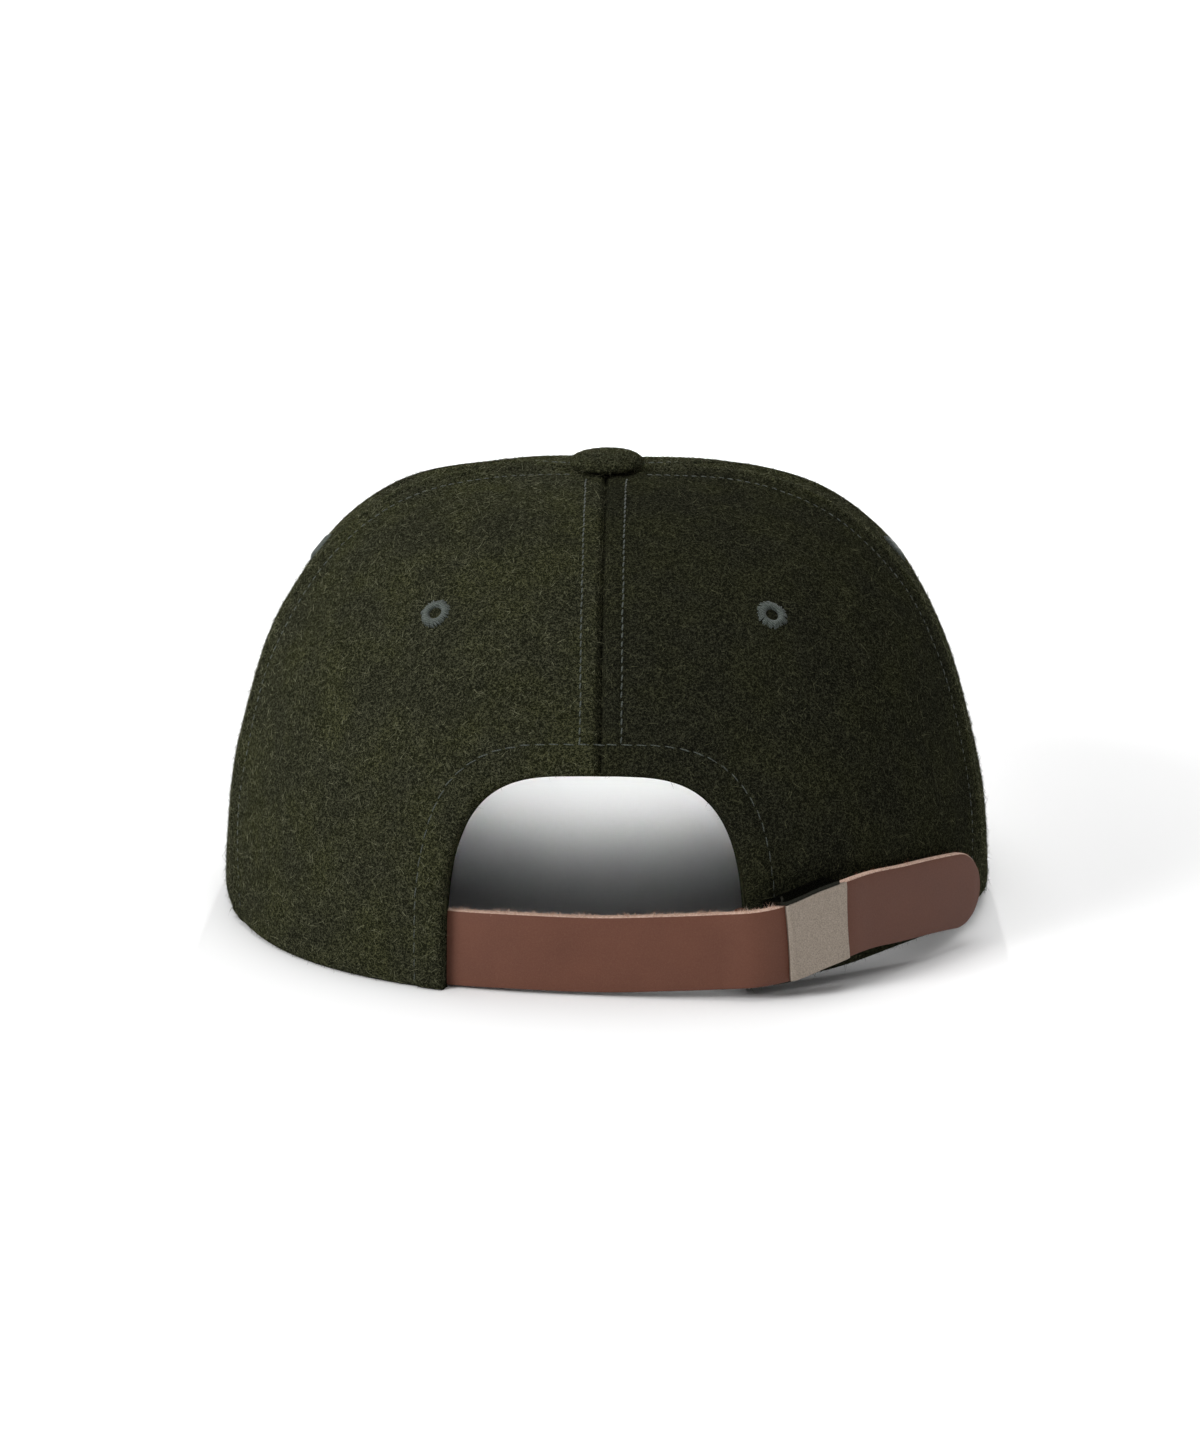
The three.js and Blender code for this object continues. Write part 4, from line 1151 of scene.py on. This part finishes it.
def beside_strap(distance, up, out):
    """Point beside the strap's middle line, by its distance along, up and outward."""
    middle, along, upward, outward = strap_frame(distance)
    over = distance - np.clip(distance, 0, strap_length)
    return (middle + along * np.expand_dims(over, -1) + upward * np.expand_dims(up, -1)
            + outward * np.expand_dims(out, -1))


def leather_material(name, deep, body, worn):
    """Pull-up leather: fine pebbled grain, soft clouds in its brown and a low wax gloss."""
    material, tree, output = new_material(name)
    where = add(tree, "TexCoord").outputs["Object"]
    cells = add(tree, "TexVoronoi", {"Vector": where, "Scale": 1 / (0.4 * MM),
                                     "Randomness": 0.9}, feature="SMOOTH_F1")
    grain = add(tree, "TexNoise", {"Vector": where, "Scale": 1 / (0.3 * MM), "Detail": 4,
                                   "Roughness": 0.65})
    cloud = add(tree, "TexNoise", {"Vector": where, "Scale": 1 / (12 * MM), "Detail": 3,
                                   "Roughness": 0.5, "Distortion": 0.4})
    body_tint = add(tree, "MixRGB", {"Fac": cloud.outputs["Fac"], "Color1": linear(deep),
                                     "Color2": linear(body)})
    spots = add(tree, "MapRange", {"Value": grain.outputs["Fac"], "From Min": 0.42,
                                   "From Max": 0.8, "To Max": 0.3})
    tint = add(tree, "MixRGB", {"Fac": spots.outputs["Result"],
                                "Color1": body_tint.outputs["Color"], "Color2": linear(worn)})
    pebble = add(tree, "Math", {0: cells.outputs["Distance"], 1: grain.outputs["Fac"]},
                 operation="ADD")
    bump = add(tree, "Bump", {"Height": pebble.outputs["Value"], "Strength": 0.18,
                              "Distance": 0.08 * MM})
    gloss = add(tree, "MapRange", {"Value": cloud.outputs["Fac"], "To Min": 0.5, "To Max": 0.58})
    shader = add(tree, "BsdfPrincipled", {
        "Base Color": tint.outputs["Color"], "Roughness": gloss.outputs["Result"],
        "Specular IOR Level": 0.25, "Normal": bump.outputs["Normal"]})
    tree.links.new(shader.outputs["BSDF"], output.inputs["Surface"])
    return material


def raw_edge_material(name, deep, pale):
    """Cut leather edge: the pale fibrous inside of the hide."""
    material, tree, output = new_material(name)
    where = add(tree, "TexCoord").outputs["Object"]
    fibre = add(tree, "TexNoise", {"Vector": where, "Scale": 1 / (0.45 * MM), "Detail": 4,
                                   "Roughness": 0.7})
    spread = add(tree, "MapRange", {"Value": fibre.outputs["Fac"], "From Min": 0.3,
                                    "From Max": 0.7})
    tint = add(tree, "MixRGB", {"Fac": spread.outputs["Result"], "Color1": linear(deep),
                                "Color2": linear(pale)})
    bump = add(tree, "Bump", {"Height": fibre.outputs["Fac"], "Strength": 0.9,
                              "Distance": 0.3 * MM})
    shader = add(tree, "BsdfPrincipled", {
        "Base Color": tint.outputs["Color"], "Roughness": 0.9, "Specular IOR Level": 0.15,
        "Sheen Weight": 0.3, "Sheen Tint": linear("#E7CDBB"), "Normal": bump.outputs["Normal"]})
    tree.links.new(shader.outputs["BSDF"], output.inputs["Surface"])
    return material


leather = leather_material("brown_waxed_leather", "#523023", "#613B2C", "#765141")
raw_edge = raw_edge_material("raw_leather_edge", "#8A6858", "#D9BDAC")


def strap_ring(half_width, half_thickness, corner):
    """Outline of the strap's section, from the face round the upper edge, back and lower edge,
    with quarter circles at its corners. Gives its points in millimetres, and which of them lie
    on a cut edge."""
    across = np.linspace(-1, 1, 15)[1:-1] * (half_width - corner)
    turn = np.radians(np.linspace(90, 0, 5))
    bend = np.stack([half_width - corner + corner * np.cos(turn),
                     half_thickness - corner + corner * np.sin(turn)], 1)
    face = np.stack([across, np.full(len(across), half_thickness)], 1)
    side = np.concatenate([bend, bend[::-1] * [1, -1]])
    ring = np.concatenate([face, side, face[::-1] * [1, -1], side[::-1] * [-1, 1]])
    cut = np.zeros(len(ring), bool)
    first = len(face)
    cut[first + 1:first + len(side) - 1] = True
    second = 2 * len(face) + len(side)
    cut[second + 1:second + len(side) - 1] = True
    return ring, cut


half = STRAP_WIDTH / 2
end_share = np.sin(np.linspace(0, np.pi / 2, 26))
stations = np.append(np.linspace(0, strap_length - half, 330)[:-1],
                     strap_length - half + half * end_share)
into = np.clip((stations - (strap_length - half)) / half, 0, 1)
width = half * np.sqrt(np.maximum(1 - into * into, 0.0))
ring, cut = strap_ring(half, STRAP_THICKNESS / 2, STRAP_CORNER)
narrow = np.maximum(width / half, 0.02)[:, None]
flat = np.broadcast_to(ring[None, :, 0], (len(stations), len(ring))) * narrow
deep = np.broadcast_to(ring[None, :, 1], flat.shape).copy()
edge = np.minimum(half * narrow - np.abs(flat), (strap_length - stations)[:, None])
deep = deep + 0.12 * np.sign(deep) * ease(edge, 0, 3) - 0.05 * np.sign(deep)
points = beside_strap(np.broadcast_to(stations[:, None], flat.shape), flat, deep)
rows, columns = flat.shape
corner = np.arange(rows - 1)[:, None] * columns + np.arange(columns)
after = np.arange(rows - 1)[:, None] * columns + (np.arange(columns) + 1) % columns
quads = np.stack([corner, after, after + columns, corner + columns], -1).reshape(-1, 4)
lids = []
for row, flip in ((0, False), (rows - 1, True)):
    fan = np.array([[row * columns, row * columns + i, row * columns + i + 1]
                    for i in range(1, columns - 1)])
    lids.append(fan[:, ::-1] if flip else fan)
flat_points = points.reshape(-1, 3)
triangles = np.concatenate(lids)
a, b, c = (flat_points[quads[:, i]] for i in (0, 1, 2))
if np.einsum("ij,ij->i", a, np.cross(b, c)).sum() < 0:
    quads, triangles = quads[:, ::-1], triangles[:, ::-1]
on_edge = np.broadcast_to(cut & np.roll(cut, -1) & (ring[:, 0] > 0), (rows - 1, columns))
slots = np.append(on_edge.ravel().astype(int), np.zeros(len(triangles), int))
strap = link_mesh("strap_leather", place(flat_points), [quads, triangles],
                  [leather, raw_edge], slots)
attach(strap, "root")
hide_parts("strap")

rng = np.random.default_rng(100)
EDGE_FIBRES = {
    "strap_edge_fibres": {"count": 4500, "deep": "#B08C78", "pale": "#EBD8CB", "length": 0.45},
    "tail_edge_fibres": {"count": 700, "deep": "#6E3F2E", "pale": "#B98D78", "length": 0.3},
}
buckle_start = float(np.interp(BUCKLE_AZIMUTH, azimuth_of(strap_line), strap_steps))
reaches = {"strap_edge_fibres": (0, buckle_start),
           "tail_edge_fibres": (buckle_start, strap_length)}
for name, row in EDGE_FIBRES.items():
    count = row["count"]
    along = rng.uniform(*reaches[name], count)
    tufted = 0.5 + 0.5 * np.sin(along * 0.9 + 2 * np.sin(along * 0.23)) ** 3
    inset = np.clip((along - (strap_length - half)) / half, 0, 0.9)
    reach = half * np.sqrt(1 - inset * inset)
    roots = beside_strap(along, reach * 0.985, rng.uniform(-1.0, 1.0, count))
    _, _, upward, outward = strap_frame(along)
    ways = unit(upward + outward * rng.normal(0, 0.35, (count, 1)))
    fibre = nap_material("loose_hide_fibre_" + name, row["deep"], row["pale"])
    edge_hairs = hairs(name, roots, ways,
                       0.2 + rng.exponential(row["length"], count).clip(0, 1.2) * (0.4 + tufted),
                       rng.uniform(0.03, 0.06, count), (20, 80), 2, 0.5, rng, fibre)
    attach(edge_hairs, "root")


# Buckle. A folded clip of nickel-plated steel with a matt antique finish: its frame lies behind
# the strap with a wall above and below it, and its plate snaps down over the strap.
BUCKLE_LENGTH = 15
METAL = 0.8
PLATE_RAISE = 0.2
PLATE_LEAN = 0.12
PLATE_SLIP = 0.4
PLATE_ROUND = 0.16
PLATE_ROLL = 0.3
PLATE_CORNER = 0.1


def nickel_material(name, deep, body, matt, smooth):
    """Antiqued nickel plate: a matt metal with fine darker specks, or a polished copy whose
    near-black colours paint shade.
    """
    material, tree, output = new_material(name)
    where = add(tree, "TexCoord").outputs["Object"]
    specks = add(tree, "TexNoise", {"Vector": where, "Scale": 1 / (0.3 * MM), "Detail": 4,
                                    "Roughness": 0.7})
    spread = add(tree, "MapRange", {"Value": specks.outputs["Fac"], "From Min": 0.34,
                                    "From Max": 0.66})
    tint = add(tree, "MixRGB", {"Fac": spread.outputs["Result"], "Color1": linear(deep),
                                "Color2": linear(body)})
    rough = add(tree, "MapRange", {"Value": specks.outputs["Fac"], "To Min": smooth,
                                   "To Max": matt})
    bump = add(tree, "Bump", {"Height": specks.outputs["Fac"], "Strength": 0.1,
                              "Distance": 0.04 * MM})
    shader = add(tree, "BsdfPrincipled", {
        "Base Color": tint.outputs["Color"], "Metallic": 1, "Roughness": rough.outputs["Result"],
        "Normal": bump.outputs["Normal"]})
    tree.links.new(shader.outputs["BSDF"], output.inputs["Surface"])
    return material


nickel = nickel_material("antique_nickel_plate", "#81776C", "#A79C90", 0.6, 0.45)
# The frame's nickel is near black: painted shade for the dark band over its walls behind the plate.
frame_shade_nickel = nickel_material("polished_nickel_painted_shade", "#1A1A16", "#2B2B26", 0.34, 0.2)

strap_face = STRAP_THICKNESS / 2 + FIT_GAP
along, up_share = np.meshgrid(crowded(46, 2.2), crowded(54, 2.2), indexing="ij")
length_gap = np.minimum(along, 1 - along) * BUCKLE_LENGTH
width_gap = np.minimum(up_share, 1 - up_share) * STRAP_WIDTH
fall = rounded(np.minimum(length_gap, width_gap), PLATE_ROUND)
roll = PLATE_ROLL * np.exp(-((along * BUCKLE_LENGTH - 0.9) / 0.7) ** 2)
corner_cut = (PLATE_CORNER * np.clip(1 - length_gap / 1.2, 0, 1)
              * np.clip(1 - width_gap / 1.2, 0, 1))
height = ((up_share - 0.5) * STRAP_WIDTH + PLATE_RAISE
          + corner_cut * np.sign(0.5 - up_share))
distance = (buckle_start + along * BUCKLE_LENGTH + corner_cut * np.sign(0.5 - along)
            + PLATE_LEAN * height - PLATE_SLIP)
outer = beside_strap(distance, height, strap_face + METAL - fall + roll)
inner = beside_strap(distance, height, strap_face + fall * 0.6)
points, quads = shell(outer, inner)
plate = link_mesh("buckle_plate_nickel", place(points), [quads], [nickel])
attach(plate, "root")
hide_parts("buckle_plate")

# The frame takes the near-black nickel, which is painted shade.
buckle_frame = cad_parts["buckle_frame"]
buckle_frame.data.materials.clear()
buckle_frame.data.materials.append(frame_shade_nickel)


# Keeper. A short tab of the same leather, sewn inside the right back panel, that comes round the
# arch's edge and hooks the buckle's bar. Its edges are burnished round.
KEEPER_ROUND = 0.2
SAME_POINT = 0.00001

keeper = bpy.data.objects.new("strap_keeper_leather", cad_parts["strap_keeper"].data.copy())
bpy.context.collection.objects.link(keeper)
weld = keeper.modifiers.new("weld", "WELD")
weld.merge_threshold = SAME_POINT
soften = keeper.modifiers.new("soften", "BEVEL")
soften.width = KEEPER_ROUND * MM
soften.segments = 2
soften.limit_method = "ANGLE"
soften.angle_limit = math.radians(35)
keeper.data.materials.clear()
keeper.data.materials.append(leather)
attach(keeper, "root")
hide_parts("strap_keeper")
